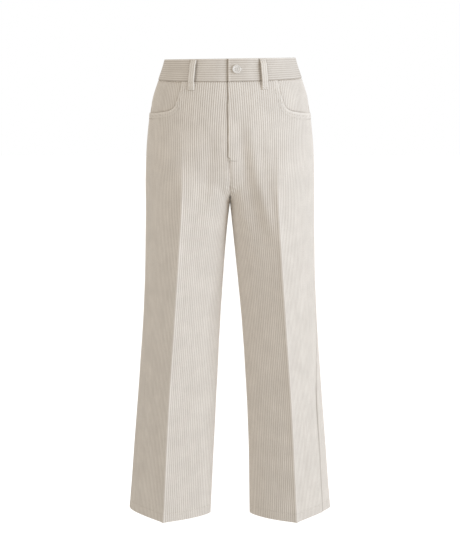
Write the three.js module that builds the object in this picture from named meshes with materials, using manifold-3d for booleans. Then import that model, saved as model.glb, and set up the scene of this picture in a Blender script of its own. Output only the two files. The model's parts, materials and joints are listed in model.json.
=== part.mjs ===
// Straight wide-leg corduroy trousers, filled out as if worn, with nobody in them.
// Millimetres. The origin is the middle of the waist opening, level with the waistband's top edge.
// +Z is up, the front faces -Y, and the wearer's left side is +X.
import * as THREE from "three";
import { mergeVertices } from "three/addons/utils/BufferGeometryUtils.js";
import Module from "manifold-3d";

const wasm = await Module();
wasm.setup();

// Main sizes
const LENGTH = 965; // waistband's top edge to the hem
const BAND_HEIGHT = 45;
const CROTCH_Z = -288; // where the four leg seams meet
const CROTCH_Y = -20;
const CLOTH = 1.8; // one layer of corduroy
const SEAM_GAP = 0.3;
const LAYER_GAP = 0.5; // between two layers that lie on each other
const HEM_TURN = 20; // depth of the turned-up hem
const HEM_THICK = 3.4;

// Seat and hips above the crotch: half width, how far the front and back stand from the middle,
// where the side lies front to back, and how square the oval is (2 is an ellipse).
// frontMark and backMark are the lengths along the outline from the centre seams to the crease lines.
const BODY = [
  { z: 0, halfWidth: 132.5, front: 90, back: 92, sideY: 0, square: 2.08, frontMark: 86, backMark: 80 },
  { z: -20, halfWidth: 138, front: 93, back: 97, sideY: 0.5, square: 2.08, frontMark: 88, backMark: 83 },
  { z: -45, halfWidth: 146, front: 96, back: 103, sideY: 1, square: 2.1, frontMark: 91, backMark: 87 },
  { z: -80, halfWidth: 157.5, front: 99, back: 111, sideY: 2, square: 2.12, frontMark: 94, backMark: 93 },
  { z: -125, halfWidth: 166, front: 101.5, back: 118, sideY: 4, square: 2.15, frontMark: 97, backMark: 98 },
  { z: -180, halfWidth: 172, front: 103.5, back: 122, sideY: 6, square: 2.15, frontMark: 100, backMark: 101 },
  { z: -250, halfWidth: 175, front: 104, back: 123, sideY: 7, square: 2.15, frontMark: 102, backMark: 102 },
];
const LEGS_BEGIN = { from: -125, to: -255 }; // over which the hips' outline turns into the legs'

// Above the crotch each leg's outline would run on past the middle by this much at t mm above it,
// steady * t + growing * t * t. It is trimmed at the middle, which gives the curve of the crotch seam.
const PAST_MIDDLE = { steady: 0.45, growing: 0.02 };

// Each leg's inner seam and its outermost side
const LEG = [
  { z: CROTCH_Z, innerLeft: 0, innerRight: 0, innerY: CROTCH_Y, outerX: 175, outerY: 8 },
  { z: -330, innerLeft: 4.4, innerRight: 5.2, innerY: -20, outerX: 175.6, outerY: 8 },
  { z: -375, innerLeft: 9, innerRight: 9.4, innerY: -20, outerX: 176.8, outerY: 8 },
  { z: -460, innerLeft: 17.6, innerRight: 15.8, innerY: -20, outerX: 179.3, outerY: 7 },
  { z: -547, innerLeft: 25.6, innerRight: 21.3, innerY: -20, outerX: 184.2, outerY: 6 },
  { z: -634, innerLeft: 31.6, innerRight: 25.7, innerY: -21, outerX: 190.9, outerY: 5.5 },
  { z: -723, innerLeft: 36.7, innerRight: 30.2, innerY: -22, outerX: 198.1, outerY: 5 },
  { z: -812, innerLeft: 40.2, innerRight: 34.7, innerY: -23, outerX: 205.8, outerY: 5 },
  { z: -903, innerLeft: 41.8, innerRight: 39.2, innerY: -24, outerX: 213.4, outerY: 5 },
  { z: -965, innerLeft: 42.6, innerRight: 41.8, innerY: -25, outerX: 219.2, outerY: 5 },
];

// The pressed creases
const CREASES = [
  { z: -120, frontX: 94, frontY: -93, backX: 95, backY: 103 },
  { z: -200, frontX: 95, frontY: -97, backX: 97, backY: 112 },
  { z: -288, frontX: 97, frontY: -103, backX: 99, backY: 114 },
  { z: -375, frontX: 102.5, frontY: -103, backX: 102, backY: 108 },
  { z: -460, frontX: 108.5, frontY: -101, backX: 107, backY: 101 },
  { z: -547, frontX: 115, frontY: -98.5, backX: 113, backY: 94 },
  { z: -723, frontX: 127.8, frontY: -94.5, backX: 125, backY: 81 },
  { z: -965, frontX: 141.3, frontY: -90, backX: 138, backY: 66 },
];

// How straight the cloth leaves each crease for the next seam, from 0 (level, for a round form) to 1 (a flat
// facet), and how full the cloth is round the inner thigh (0.55 is round, more is squarer)
const FACETS = [
  { z: -120, frontIn: 0.05, outLeft: 0.2, outRight: 0.2, backOut: 0.1, backIn: 0, thigh: 0.78 },
  { z: -200, frontIn: 0.1, outLeft: 0.25, outRight: 0.25, backOut: 0.12, backIn: 0, thigh: 0.78 },
  { z: -288, frontIn: 0.3, outLeft: 0.5, outRight: 0.48, backOut: 0.2, backIn: 0.1, thigh: 0.76 },
  { z: -380, frontIn: 0.5, outLeft: 0.62, outRight: 0.58, backOut: 0.36, backIn: 0.26, thigh: 0.52 },
  { z: -500, frontIn: 0.62, outLeft: 0.74, outRight: 0.7, backOut: 0.54, backIn: 0.44, thigh: 0.36 },
  { z: -634, frontIn: 0.68, outLeft: 0.84, outRight: 0.77, backOut: 0.66, backIn: 0.55, thigh: 0.3 },
  { z: -812, frontIn: 0.76, outLeft: 0.95, outRight: 0.84, backOut: 0.72, backIn: 0.62, thigh: 0.27 },
  { z: -965, frontIn: 0.82, outLeft: 1.06, outRight: 0.88, backOut: 0.76, backIn: 0.66, thigh: 0.25 },
];

// How far along the cloth the side seam lies from the leg's outermost line: minus is towards the front.
const SIDE_SEAM = [
  { z: 0, left: 0, right: 0 },
  { z: -450, left: -2, right: 0 },
  { z: -560, left: -8, right: -2 },
  { z: -650, left: -14, right: -4 },
  { z: -720, left: -18, right: -5 },
  { z: -850, left: -22, right: -7 },
  { z: -965, left: -24, right: -8 },
];

// Soft folds: a trough (minus) or ridge from one point to another of a panel, with its half width and depth.
// from and to are [length along the cloth from the panel's crease line, height].
// On a front, minus lengths run to the centre. On a back, plus lengths run to the centre.
const FOLDS = [
  { panel: "front_left", from: [-64, -128], to: [-52, -215], width: 13, depth: -1.7 },
  { panel: "front_left", from: [-52, -200], to: [-20, -372], width: 15, depth: -2.6 },
  { panel: "front_left", from: [-84, -120], to: [-84, -205], width: 12, depth: 0.9 },
  { panel: "front_left", from: [-110, -296], to: [-72, -258], width: 8, depth: -1.3 },
  { panel: "front_right", from: [-62, -185], to: [-30, -340], width: 16, depth: -1.5 },
  { panel: "front_right", from: [-108, -294], to: [-74, -262], width: 8, depth: -1.2 },
  { panel: "back_left", from: [90, -300], to: [-20, -348], width: 17, depth: -3.6 },
  { panel: "back_left", from: [66, -338], to: [-8, -410], width: 18, depth: -2.6 },
  { panel: "back_left", from: [40, -560], to: [-35, -610], width: 24, depth: -2.2 },
  { panel: "back_right", from: [92, -304], to: [-10, -340], width: 17, depth: -3.3 },
  { panel: "back_right", from: [60, -350], to: [-18, -430], width: 19, depth: -2.8 },
  { panel: "back_right", from: [30, -590], to: [-45, -628], width: 24, depth: -2 },
];

// Fly: the wearer's left front laps over the right one
const FLY_OVERLAP = 3.5;
const FLY_UNDERLAP = 9;
const FLY_STEP = 1.2; // how far the upper front stands out at its edge, and the lower one is pressed in
const FLY_RAMP = [3, 34]; // lengths from the centre front between which that fades out
const FLY = { underlapEnds: [-200, -208], overlapEnds: [-208, -216], stepEnds: [-214, -250] };

// Waistband
const BAND_OUT = 1.2; // the band stands this far outside the panels
const BAND_IN = -2; // and reaches this far inside them
const BAND_ROUND = 2; // height of its rounded top edge
const BAND_UNDERLAP = 30; // the right end runs on this far under the left one
const BAND_STEP = 1.85; // each of the two lapped ends moves this far apart from the other
const BAND_COLUMNS = 34;

// The waist sits a little askew, and the band's lower edge is lower at the middle than at the sides.
const WAIST_TILT = 0.0145;
const BAND_SIDE_LIFT = 3.5;

// Pocket mouth as seen from the front: a steep edge, a rounded corner and a nearly level edge to the side.
// Each point is a distance from the middle and a height, with the bend between it and the next.
const POCKET_MOUTH = [
  { x: 95.5, z: -45, bendX: 99.5, bendZ: -68 },
  { x: 109, z: -92, bendX: 113.5, bendZ: -101.5 },
  { x: 128, z: -104.5, bendX: 142, bendZ: -107.5 },
  { x: 158, z: -109.5 },
];
const FACING_UNDER = 17; // how far the pocket facing runs on below the mouth
const FACING_BESIDE = 9; // and past the crease line towards the middle
const FACING_RISE = { places: [1.45, 1.95], heights: [-107, -90] }; // where it comes up level with the back

// Belt loops. around is the place on the waist: 0 at the centre front, 2 at the side, 4 at the centre back.
const LOOP_WIDTH = 12.5;
const LOOP_THICK = 2.4;
const LOOP_EDGE = 0.35; // how much thinner the loop is at its sides
const LOOP_STAND = 3; // free space behind the loop
const LOOPS = [
  { name: "belt_loop_front_left", side: 1, around: 0.755 },
  { name: "belt_loop_front_right", side: -1, around: 0.845 },
  { name: "belt_loop_back_left", side: 1, around: 2.62 },
  { name: "belt_loop_back_right", side: -1, around: 2.62 },
  { name: "belt_loop_centre_back", side: 1, around: 4 },
];
// From its top end to its lower end: the height, and the share of the stand at that height
const LOOP_PATH = [
  { z: -2.6, stand: 0 },
  { z: -7, stand: 0.15 },
  { z: -12, stand: 1 },
  { z: -26, stand: 1 },
  { z: -42, stand: 0.95 },
  { z: -52, stand: 0.55 },
  { z: -57, stand: 0 },
  { z: -62, stand: 0 },
];

// Button: fromMiddle is the distance along the waistband from the centre front.
const BUTTON = { fromMiddle: 12.8, z: -21.4, radius: 8.6, thick: 3.2, rim: 2.2, dish: 1.1 };
const BUTTON_HOLES = { radius: 0.85, out: 1.7 };

const mix = (a, b, t) => a + (b - a) * t;
const mixPoint = (p, q, t) => p.map((v, k) => mix(v, q[k], t));

function ease(value, from, to) {
  const t = Math.min(1, Math.max(0, (value - from) / (to - from)));
  return t * t * (3 - 2 * t);
}

// A table's column at height z: a smooth curve through the rows, level beyond the ends.
function at(table, column, z) {
  if (z >= table[0].z) return table[0][column];
  const last = table.length - 1;
  if (z <= table[last].z) return table[last][column];
  const i = table.findIndex((row) => row.z <= z) - 1;
  const slope = (k) => {
    const a = table[Math.max(0, k - 1)];
    const b = table[Math.min(last, k + 1)];
    return (b[column] - a[column]) / (b.z - a.z);
  };
  const span = table[i + 1].z - table[i].z;
  const t = (z - table[i].z) / span;
  const t2 = t * t;
  const t3 = t2 * t;
  return (
    (2 * t3 - 3 * t2 + 1) * table[i][column] +
    (t3 - 2 * t2 + t) * span * slope(i) +
    (3 * t2 - 2 * t3) * table[i + 1][column] +
    (t3 - t2) * span * slope(i + 1)
  );
}

// Lengths from the start of a polyline to each of its points.
function lengthsOf(points) {
  const lengths = [0];
  for (let i = 1; i < points.length; i++) {
    const step = Math.hypot(points[i][0] - points[i - 1][0], points[i][1] - points[i - 1][1]);
    lengths.push(lengths[i - 1] + step);
  }
  return lengths;
}

// The point of a polyline at a length from its start, carried on straight past its ends.
function pointAlong(points, lengths, length) {
  const last = lengths.length - 1;
  let i = lengths.findIndex((value) => value > length) - 1;
  if (length < 0) i = 0;
  if (length >= lengths[last]) i = last - 1;
  const share = (length - lengths[i]) / (lengths[i + 1] - lengths[i]);
  return mixPoint(points[i], points[i + 1], share);
}

const RUN_STEPS = 24;

// Part of a polyline as evenly spaced points.
function evenRun(points, lengths, from, to) {
  const run = [];
  for (let i = 0; i <= RUN_STEPS; i++) {
    run.push(pointAlong(points, lengths, mix(from, to, i / RUN_STEPS)));
  }
  return run;
}

const CURVE_STEPS = 60;
const QUARTER = 0.5523; // the handle length that makes a cubic curve a quarter of a circle

// A quarter of the hips' oval, from the centre seam to the side.
function ovalQuarter(halfWidth, centreY, sideY, square) {
  const points = [];
  for (let i = 0; i <= CURVE_STEPS; i++) {
    const angle = (i / CURVE_STEPS) * (Math.PI / 2);
    const x = halfWidth * Math.pow(Math.sin(angle), 2 / square);
    const y = sideY + (centreY - sideY) * Math.pow(Math.max(0, Math.cos(angle)), 2 / square);
    points.push([x, y]);
  }
  return points;
}

// A facet from a crease to a seam or side, as a cubic curve that ends running front to back.
// straight is how straight it leaves the crease, and full is the length of its handles.
function facet(crease, end, straight, full) {
  const [across, along] = [end[0] - crease[0], end[1] - crease[1]];
  const start = Math.max(full, 0.43);
  const curve = new THREE.CubicBezierCurve(
    new THREE.Vector2(...crease),
    new THREE.Vector2(crease[0] + start * across, crease[1] + start * straight * along),
    new THREE.Vector2(end[0], end[1] - full * along),
    new THREE.Vector2(...end),
  );
  return curve.getPoints(CURVE_STEPS).map((p) => [p.x, p.y]);
}

// A facet that runs on past the middle, trimmed where it crosses it.
function trimmed(points) {
  const over = points.findIndex(([x]) => x < 0);
  if (over < 0) return points;
  const [a, b] = [points[over - 1], points[over]];
  return [...points.slice(0, over), mixPoint(a, b, a[0] / (a[0] - b[0]))];
}

// The hips' half outline at height z as four runs, between the centre front, the crease line, the side,
// the back crease line and the centre back.
function bodyRuns(z) {
  const value = (column) => at(BODY, column, z);
  const front = ovalQuarter(value("halfWidth"), -value("front"), value("sideY"), value("square"));
  const back = ovalQuarter(value("halfWidth"), value("back"), value("sideY"), value("square"));
  const frontLengths = lengthsOf(front);
  const backLengths = lengthsOf(back);
  const frontEnd = frontLengths[frontLengths.length - 1];
  const backEnd = backLengths[backLengths.length - 1];
  return [
    evenRun(front, frontLengths, 0, value("frontMark")),
    evenRun(front, frontLengths, value("frontMark"), frontEnd),
    evenRun(back, backLengths, backEnd, value("backMark")),
    evenRun(back, backLengths, value("backMark"), 0),
  ];
}

// A leg's outline at height z as the same four runs. Above the crotch it starts and ends at the centre
// seams, and below it at the inner seam.
function legRuns(z, side) {
  const sideName = side > 0 ? "Left" : "Right";
  const above = z - CROTCH_Z;
  const past = above > 0 ? PAST_MIDDLE.steady * above + PAST_MIDDLE.growing * above * above : 0;
  const inner = [at(LEG, "inner" + sideName, z) - past, at(LEG, "innerY", z)];
  const [body, width, sideY] = above > 0 ? [BODY, "halfWidth", "sideY"] : [LEG, "outerX", "outerY"];
  const outer = [at(body, width, z), at(body, sideY, z)];
  const crease = [at(CREASES, "frontX", z), at(CREASES, "frontY", z)];
  const backCrease = [at(CREASES, "backX", z), at(CREASES, "backY", z)];
  const straight = (column) => at(FACETS, column, z);
  const outerFull = (column) => QUARTER * (1 - 0.65 * straight(column));
  const innerFull = straight("thigh");
  const frontOut = "out" + sideName;
  const quarters = [
    trimmed(facet(crease, inner, straight("frontIn"), innerFull)).reverse(),
    facet(crease, outer, straight(frontOut), outerFull(frontOut)),
    facet(backCrease, outer, straight("backOut"), outerFull("backOut")).reverse(),
    trimmed(facet(backCrease, inner, straight("backIn"), innerFull)),
  ];
  return quarters.map((points) => {
    const lengths = lengthsOf(points);
    return evenRun(points, lengths, 0, lengths[lengths.length - 1]);
  });
}

const outlines = new Map();

// A half's outline at height z: the hips' runs turning into the leg's.
function outline(z, side) {
  const key = side + "_" + z.toFixed(4);
  if (outlines.has(key)) return outlines.get(key);
  const share = ease(z, LEGS_BEGIN.from, LEGS_BEGIN.to);
  const body = bodyRuns(z);
  const leg = legRuns(z, side);
  const runs = body.map((run, r) => run.map((point, i) => mixPoint(point, leg[r][i], share)));
  const made = runs.map((points) => ({ points, lengths: lengthsOf(points) }));
  outlines.set(key, made);
  return made;
}

const runLength = (z, side, r) => outline(z, side)[r].lengths[RUN_STEPS];

// A half's surface at height z and place f: 0 to 4 round the outline, a whole number at each crease and seam.
// Past the centre seams, which only a lap does, it goes on as the other half.
function onHalf(z, side, f) {
  if (f < 0 || f > 4) {
    const [x, y] = onHalf(z, side, f < 0 ? -f : 8 - f);
    return [-x, y, z];
  }
  const r = Math.min(3, Math.floor(f));
  const { points, lengths } = outline(z, side)[r];
  const [x, y] = pointAlong(points, lengths, (f - r) * lengths[RUN_STEPS]);
  return [x, y, z];
}

// The outward normal of a half's surface, from short steps up, down and to both sides.
// No step crosses the crotch's height or a centre seam, where the surface turns sharply.
// Below the crotch the steps go on round the leg.
function normalAt(z, side, f) {
  const over = f < 0 ? -f : 8 - f;
  if (f < 0 || f > 4) return normalAt(z, side, over).multiply(new THREE.Vector3(-1, 1, 1));
  const dz = 3;
  const df = 0.03;
  const [lowest, highest] = z > CROTCH_Z ? [CROTCH_Z + 0.01, 0] : [-LENGTH - dz, CROTCH_Z];
  const round = (g) => (z > CROTCH_Z ? Math.min(4, Math.max(0, g)) : (g + 4) % 4);
  const up = new THREE.Vector3(...onHalf(Math.min(highest, z + dz), side, f));
  const down = new THREE.Vector3(...onHalf(Math.max(lowest, z - dz), side, f));
  const ahead = new THREE.Vector3(...onHalf(z, side, round(f + df)));
  const behind = new THREE.Vector3(...onHalf(z, side, round(f - df)));
  return ahead.sub(behind).cross(up.sub(down)).normalize();
}

const seamPlace = (z, side) => {
  const shift = at(SIDE_SEAM, side > 0 ? "left" : "right", z);
  return 2 + shift / runLength(z, side, shift < 0 ? 1 : 2);
};

// Length along the cloth from a panel's own crease line. Run 1 starts at the front one, run 3 at the back.
function lengthFromCrease(z, side, f, panel) {
  const r = Math.max(0, Math.min(3, Math.floor(f)));
  const lengths = [0, 1, 2, 3].map((k) => runLength(z, side, k));
  const fromStart = lengths.slice(0, r).reduce((sum, v) => sum + v, 0) + (f - r) * lengths[r];
  const creaseAt = panel.startsWith("front") ? lengths[0] : lengths[0] + lengths[1] + lengths[2];
  return fromStart - creaseAt;
}

// How far the folds move a panel's cloth in or out at a point.
function foldHeight(panel, s, z) {
  let height = 0;
  for (const fold of FOLDS) {
    if (fold.panel !== panel) continue;
    const along = [fold.to[0] - fold.from[0], fold.to[1] - fold.from[1]];
    const squared = along[0] * along[0] + along[1] * along[1];
    const t = ((s - fold.from[0]) * along[0] + (z - fold.from[1]) * along[1]) / squared;
    const near = Math.min(1, Math.max(0, t));
    const distance = Math.hypot(s - fold.from[0] - near * along[0], z - fold.from[1] - near * along[1]);
    const fading = Math.sin(Math.PI * mix(0.12, 0.88, near));
    height += fold.depth * fading * Math.exp(-((distance / fold.width) ** 2));
  }
  return height;
}

// The small skew of the waist and the dip of the waistband's lower edge.
function settle([x, y, z]) {
  const tilt = WAIST_TILT * x * (1 - ease(-z, 45, 150));
  const lift = BAND_SIDE_LIFT * Math.min(1, (x / 146) ** 2) * ease(-z, 0, 45) * (1 - ease(-z, 60, 170));
  return [x, y, z + tilt + lift];
}

// A closed wall from an outer and an inner grid of points, turned so that its faces point out.
function wall(outer, inner) {
  const rows = outer.length;
  const columns = outer[0].length;
  const positions = [...outer.flat(), ...inner.flat()].flatMap((p) => settle(p));
  const index = [];
  const quad = (a, b, c, d) => index.push(a, b, c, a, c, d);
  const front = (i, j) => i * columns + j;
  const back = (i, j) => rows * columns + i * columns + j;
  for (let i = 0; i < rows - 1; i++) {
    for (let j = 0; j < columns - 1; j++) {
      quad(front(i, j), front(i + 1, j), front(i + 1, j + 1), front(i, j + 1));
      quad(back(i, j), back(i, j + 1), back(i + 1, j + 1), back(i + 1, j));
    }
    quad(front(i, 0), back(i, 0), back(i + 1, 0), front(i + 1, 0));
    const j = columns - 1;
    quad(front(i, j), front(i + 1, j), back(i + 1, j), back(i, j));
  }
  for (let j = 0; j < columns - 1; j++) {
    quad(front(0, j), front(0, j + 1), back(0, j + 1), back(0, j));
    const i = rows - 1;
    quad(front(i, j), back(i, j), back(i, j + 1), front(i, j + 1));
  }
  const geometry = new THREE.BufferGeometry();
  geometry.setAttribute("position", new THREE.Float32BufferAttribute(positions, 3));
  geometry.setIndex(index);
  return facingOut(geometry);
}

// The geometry with its triangles turned round if its volume comes out negative.
function facingOut(geometry) {
  const p = geometry.getAttribute("position");
  const index = [...geometry.index.array];
  const corner = (i) => new THREE.Vector3().fromBufferAttribute(p, index[i]);
  let volume = 0;
  for (let i = 0; i < index.length; i += 3) volume += corner(i).dot(corner(i + 1).cross(corner(i + 2)));
  if (volume < 0) {
    for (let i = 0; i < index.length; i += 3) [index[i], index[i + 1]] = [index[i + 1], index[i]];
    geometry.setIndex(index);
  }
  geometry.computeVertexNormals();
  return geometry;
}

// A surface point moved out along the normal, on the wearer's left (side 1) or right (side -1).
// It stays at least least from the middle.
function place(z, side, f, out, least = -LENGTH) {
  const p = new THREE.Vector3(...onHalf(z, side, f)).addScaledVector(normalAt(z, side, f), out);
  return [side * Math.max(p.x, least), p.y, Math.min(p.z, 0)];
}

// Heights of the panels' rows, from the waistband's seam to the hem
const PANEL_ROWS = [
  -BAND_HEIGHT - SEAM_GAP / 2, -66, -88, -112, -138, -164, -186, ...FLY.underlapEnds, FLY.overlapEnds[1],
  -234, -250, -263, -274, -282, -286.5, CROTCH_Z, -300, -320, -350, -390, -440, -495, -550, -610, -670, -730,
  -790, -850, -905, -LENGTH + HEM_TURN + 2, -LENGTH + HEM_TURN - 1, -LENGTH,
];

const INNER_COLUMNS = 9;
const OUTER_COLUMNS = 8;

// How far past the centre front a front panel reaches at height z.
function frontReach(z, side) {
  const [from, to] = side > 0 ? FLY.overlapEnds : FLY.underlapEnds;
  const lap = side > 0 ? FLY_OVERLAP : FLY_UNDERLAP;
  return mix(lap, -SEAM_GAP / 2, ease(z, from, to));
}

// How far the fly stands out on the wearer's left, or in on the right, at a length from the centre front.
function flyHeight(z, side, fromCentre) {
  return side * FLY_STEP * (1 - ease(fromCentre, ...FLY_RAMP)) * (1 - ease(z, ...FLY.stepEnds));
}

// The thickness of the cloth at height z, doubled where the hem is turned up.
const thickAt = (z) => (z < -LENGTH + HEM_TURN ? HEM_THICK : CLOTH);

function frontPanel(side) {
  const panel = side > 0 ? "front_left" : "front_right";
  const outer = [];
  const inner = [];
  for (const z of PANEL_ROWS) {
    const reach = frontReach(z, side);
    const innerLength = runLength(z, side, 0);
    const start = -reach / innerLength;
    const end = seamPlace(z, side) - SEAM_GAP / 2 / runLength(z, side, 1);
    const places = [];
    for (let j = 0; j < INNER_COLUMNS; j++) places.push(mix(start, 1, j / INNER_COLUMNS));
    for (let j = 0; j <= OUTER_COLUMNS; j++) places.push(mix(1, end, j / OUTER_COLUMNS));
    const least = reach < 0 ? SEAM_GAP / 2 : undefined;
    const heights = places.map((f) => {
      const fly = flyHeight(z, side, Math.max(0, f) * innerLength);
      return fly + foldHeight(panel, lengthFromCrease(z, side, f, panel), z);
    });
    outer.push(places.map((f, j) => place(z, side, f, heights[j], least)));
    inner.push(places.map((f, j) => place(z, side, f, heights[j] - thickAt(z), least)));
  }
  return wall(outer, inner);
}

function backPanel(side) {
  const panel = side > 0 ? "back_left" : "back_right";
  const outer = [];
  const inner = [];
  for (const z of PANEL_ROWS) {
    const start = seamPlace(z, side) + SEAM_GAP / 2 / runLength(z, side, 2);
    const end = 4 - SEAM_GAP / 2 / runLength(z, side, 3);
    const places = [];
    for (let j = 0; j < OUTER_COLUMNS; j++) places.push(mix(start, 3, j / OUTER_COLUMNS));
    for (let j = 0; j <= INNER_COLUMNS; j++) places.push(mix(3, end, j / INNER_COLUMNS));
    const heights = places.map((f) => foldHeight(panel, lengthFromCrease(z, side, f, panel), z));
    outer.push(places.map((f, j) => place(z, side, f, heights[j], SEAM_GAP / 2)));
    inner.push(places.map((f, j) => place(z, side, f, heights[j] - thickAt(z), SEAM_GAP / 2)));
  }
  return wall(outer, inner);
}

// A copy of a geometry with only its positions, each corner listed once.
function bare(geometry) {
  const copy = new THREE.BufferGeometry();
  copy.setAttribute("position", geometry.getAttribute("position"));
  if (geometry.index) copy.setIndex(geometry.index);
  return mergeVertices(copy, 1e-4);
}

// A geometry as a solid for cutting, and a solid as a geometry.
function toSolid(geometry) {
  const merged = facingOut(bare(geometry));
  return new wasm.Manifold(
    new wasm.Mesh({
      numProp: 3,
      vertProperties: new Float32Array(merged.getAttribute("position").array),
      triVerts: new Uint32Array(merged.index.array),
    }),
  );
}

function fromSolid(solid) {
  const mesh = solid.getMesh();
  const geometry = new THREE.BufferGeometry();
  geometry.setAttribute("position", new THREE.Float32BufferAttribute(mesh.vertProperties, 3));
  geometry.setIndex([...mesh.triVerts]);
  geometry.computeVertexNormals();
  return geometry;
}

// The scooped pocket mouth as a prism that cuts through the front.
function pocketMouth(side) {
  const first = POCKET_MOUTH[0];
  const last = POCKET_MOUTH[POCKET_MOUTH.length - 1];
  const aboveTop = first.z + 20;
  const pastSide = side * 200;
  const shape = new THREE.Shape();
  shape.moveTo(side * first.x, aboveTop);
  shape.lineTo(side * first.x, first.z);
  for (let i = 1; i < POCKET_MOUTH.length; i++) {
    const { bendX, bendZ } = POCKET_MOUTH[i - 1];
    shape.quadraticCurveTo(side * bendX, bendZ, side * POCKET_MOUTH[i].x, POCKET_MOUTH[i].z);
  }
  shape.lineTo(pastSide, last.z);
  shape.lineTo(pastSide, aboveTop);
  const depth = 240;
  const prism = new THREE.ExtrudeGeometry(shape, { depth, bevelEnabled: false, curveSegments: 5 });
  prism.rotateX(Math.PI / 2);
  prism.translate(0, 40, 0);
  return toSolid(prism);
}

const frontWithPocket = (side) => fromSolid(toSolid(frontPanel(side)).subtract(pocketMouth(side)));

// The side piece that closes the pocket mouth: it lies behind the front panel, and comes up level
// with the back panel where it shows beside it.
function pocketFacing(side) {
  const rows = [-BAND_HEIGHT - SEAM_GAP / 2, -66, -82, -92, -102, -112, -110 - FACING_UNDER];
  const columns = 10;
  const behind = -CLOTH - LAYER_GAP;
  const outer = [];
  const inner = [];
  for (const z of rows) {
    const start = 1 - FACING_BESIDE / runLength(z, side, 0);
    const end = seamPlace(z, side) - SEAM_GAP / 2 / runLength(z, side, 1);
    const rise = ease(z, ...FACING_RISE.heights);
    const places = Array.from({ length: columns + 1 }, (_, j) => mix(start, end, j / columns));
    const heights = places.map((f) => behind * (1 - rise * ease(f, ...FACING_RISE.places)));
    outer.push(places.map((f, j) => place(z, side, f, heights[j])));
    inner.push(places.map((f, j) => place(z, side, f, heights[j] - CLOTH)));
  }
  return wall(outer, inner);
}

// The place f that lies a length along the cloth from the centre front.
function placeAtLength(z, side, length) {
  let left = length;
  for (let r = 0; r < 3; r++) {
    const run = runLength(z, side, r);
    if (left <= run) return r + left / run;
    left -= run;
  }
  return 3 + left / runLength(z, side, 3);
}

// How far the waistband stands out on the wearer's left, over the underlap, or in on the right.
function bandLap(side, length) {
  const from = side > 0 ? BAND_UNDERLAP : FLY_OVERLAP;
  return side * BAND_STEP * (1 - ease(length, from + 1, from + 20));
}

// Half of the waistband, from its lapped front end to the centre back.
function waistband(side) {
  const profile = [
    { z: 0, outer: BAND_OUT - BAND_ROUND / 2, inner: BAND_IN + BAND_ROUND / 2 },
    { z: -BAND_ROUND, outer: BAND_OUT, inner: BAND_IN },
    { z: -BAND_HEIGHT / 2, outer: BAND_OUT, inner: BAND_IN },
    { z: -BAND_HEIGHT + SEAM_GAP / 2, outer: BAND_OUT, inner: BAND_IN },
  ];
  const reach = side > 0 ? FLY_OVERLAP : BAND_UNDERLAP;
  const outer = [];
  const inner = [];
  for (const { z, outer: out, inner: inside } of profile) {
    const whole = [0, 1, 2, 3].reduce((sum, r) => sum + runLength(z, side, r), 0);
    const outerRow = [];
    const innerRow = [];
    for (let j = 0; j <= BAND_COLUMNS; j++) {
      const length = mix(-reach, whole - SEAM_GAP / 2, j / BAND_COLUMNS);
      const f = placeAtLength(z, side, length);
      const lap = bandLap(side, length);
      outerRow.push(place(z, side, f, out + lap));
      innerRow.push(place(z, side, f, inside + lap));
    }
    outer.push(outerRow);
    inner.push(innerRow);
  }
  return wall(outer, inner);
}

// A belt loop: a folded strip sewn on at the waistband's top edge and below its seam, standing free between.
function beltLoop({ side, around }) {
  const across = [-1, -0.35, 0.35, 1];
  const outer = [];
  const inner = [];
  for (const { z, stand } of LOOP_PATH) {
    const half = LOOP_WIDTH / 2 / runLength(z, side, Math.min(3, Math.floor(around)));
    const ground = z > -BAND_HEIGHT - 3 ? BAND_OUT : 0;
    const low = ground + LAYER_GAP + stand * LOOP_STAND;
    const places = across.map((a) => around + a * half);
    outer.push(places.map((f, j) => place(z, side, f, low + LOOP_THICK - LOOP_EDGE * Math.abs(across[j]))));
    inner.push(places.map((f) => place(z, side, f, low)));
  }
  return wall(outer, inner);
}

// A four-hole button with a raised rim and a dished middle, turned to lie on the waistband.
function button() {
  const { fromMiddle, z, radius, thick, rim, dish } = BUTTON;
  const profile = [
    [0, 0],
    [radius - 1.2, 0],
    [radius, 1.1],
    [radius - 0.3, thick - 0.5],
    [radius - 1, thick],
    [radius - rim, thick - 0.25],
    [radius - rim - 1.1, thick - dish],
    [0, thick - dish - 0.15],
  ];
  let solid = toSolid(new THREE.LatheGeometry(profile.map((p) => new THREE.Vector2(...p)), 32));
  for (const [right, up] of [[1, 1], [1, -1], [-1, 1], [-1, -1]]) {
    const hole = new THREE.CylinderGeometry(BUTTON_HOLES.radius, BUTTON_HOLES.radius, 4 * thick, 12);
    hole.translate(right * BUTTON_HOLES.out, 0, up * BUTTON_HOLES.out);
    solid = solid.subtract(toSolid(hole));
  }
  const f = fromMiddle / runLength(z, 1, 0);
  const geometry = fromSolid(solid);
  const turn = new THREE.Quaternion().setFromUnitVectors(new THREE.Vector3(0, 1, 0), normalAt(z, 1, f));
  geometry.applyQuaternion(turn);
  geometry.translate(...settle(place(z, 1, f, BAND_OUT + BAND_STEP + LAYER_GAP)));
  return geometry;
}

const trousers = new THREE.Group();

function add(name, geometry, color, roughness) {
  const mesh = new THREE.Mesh(geometry, new THREE.MeshStandardMaterial({ color, roughness, metalness: 0 }));
  mesh.name = name;
  trousers.add(mesh);
}

const addCloth = (name, geometry) => add(name, geometry, 0xd6cdc2, 0.92);

for (const [word, side] of [["left", 1], ["right", -1]]) {
  addCloth("front_" + word, frontWithPocket(side));
  addCloth("back_" + word, backPanel(side));
  addCloth("waistband_" + word, waistband(side));
  addCloth("pocket_facing_" + word, pocketFacing(side));
}
for (const loop of LOOPS) addCloth(loop.name, beltLoop(loop));
add("waist_button", button(), 0xeae2da, 0.32);

export default trousers;
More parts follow.
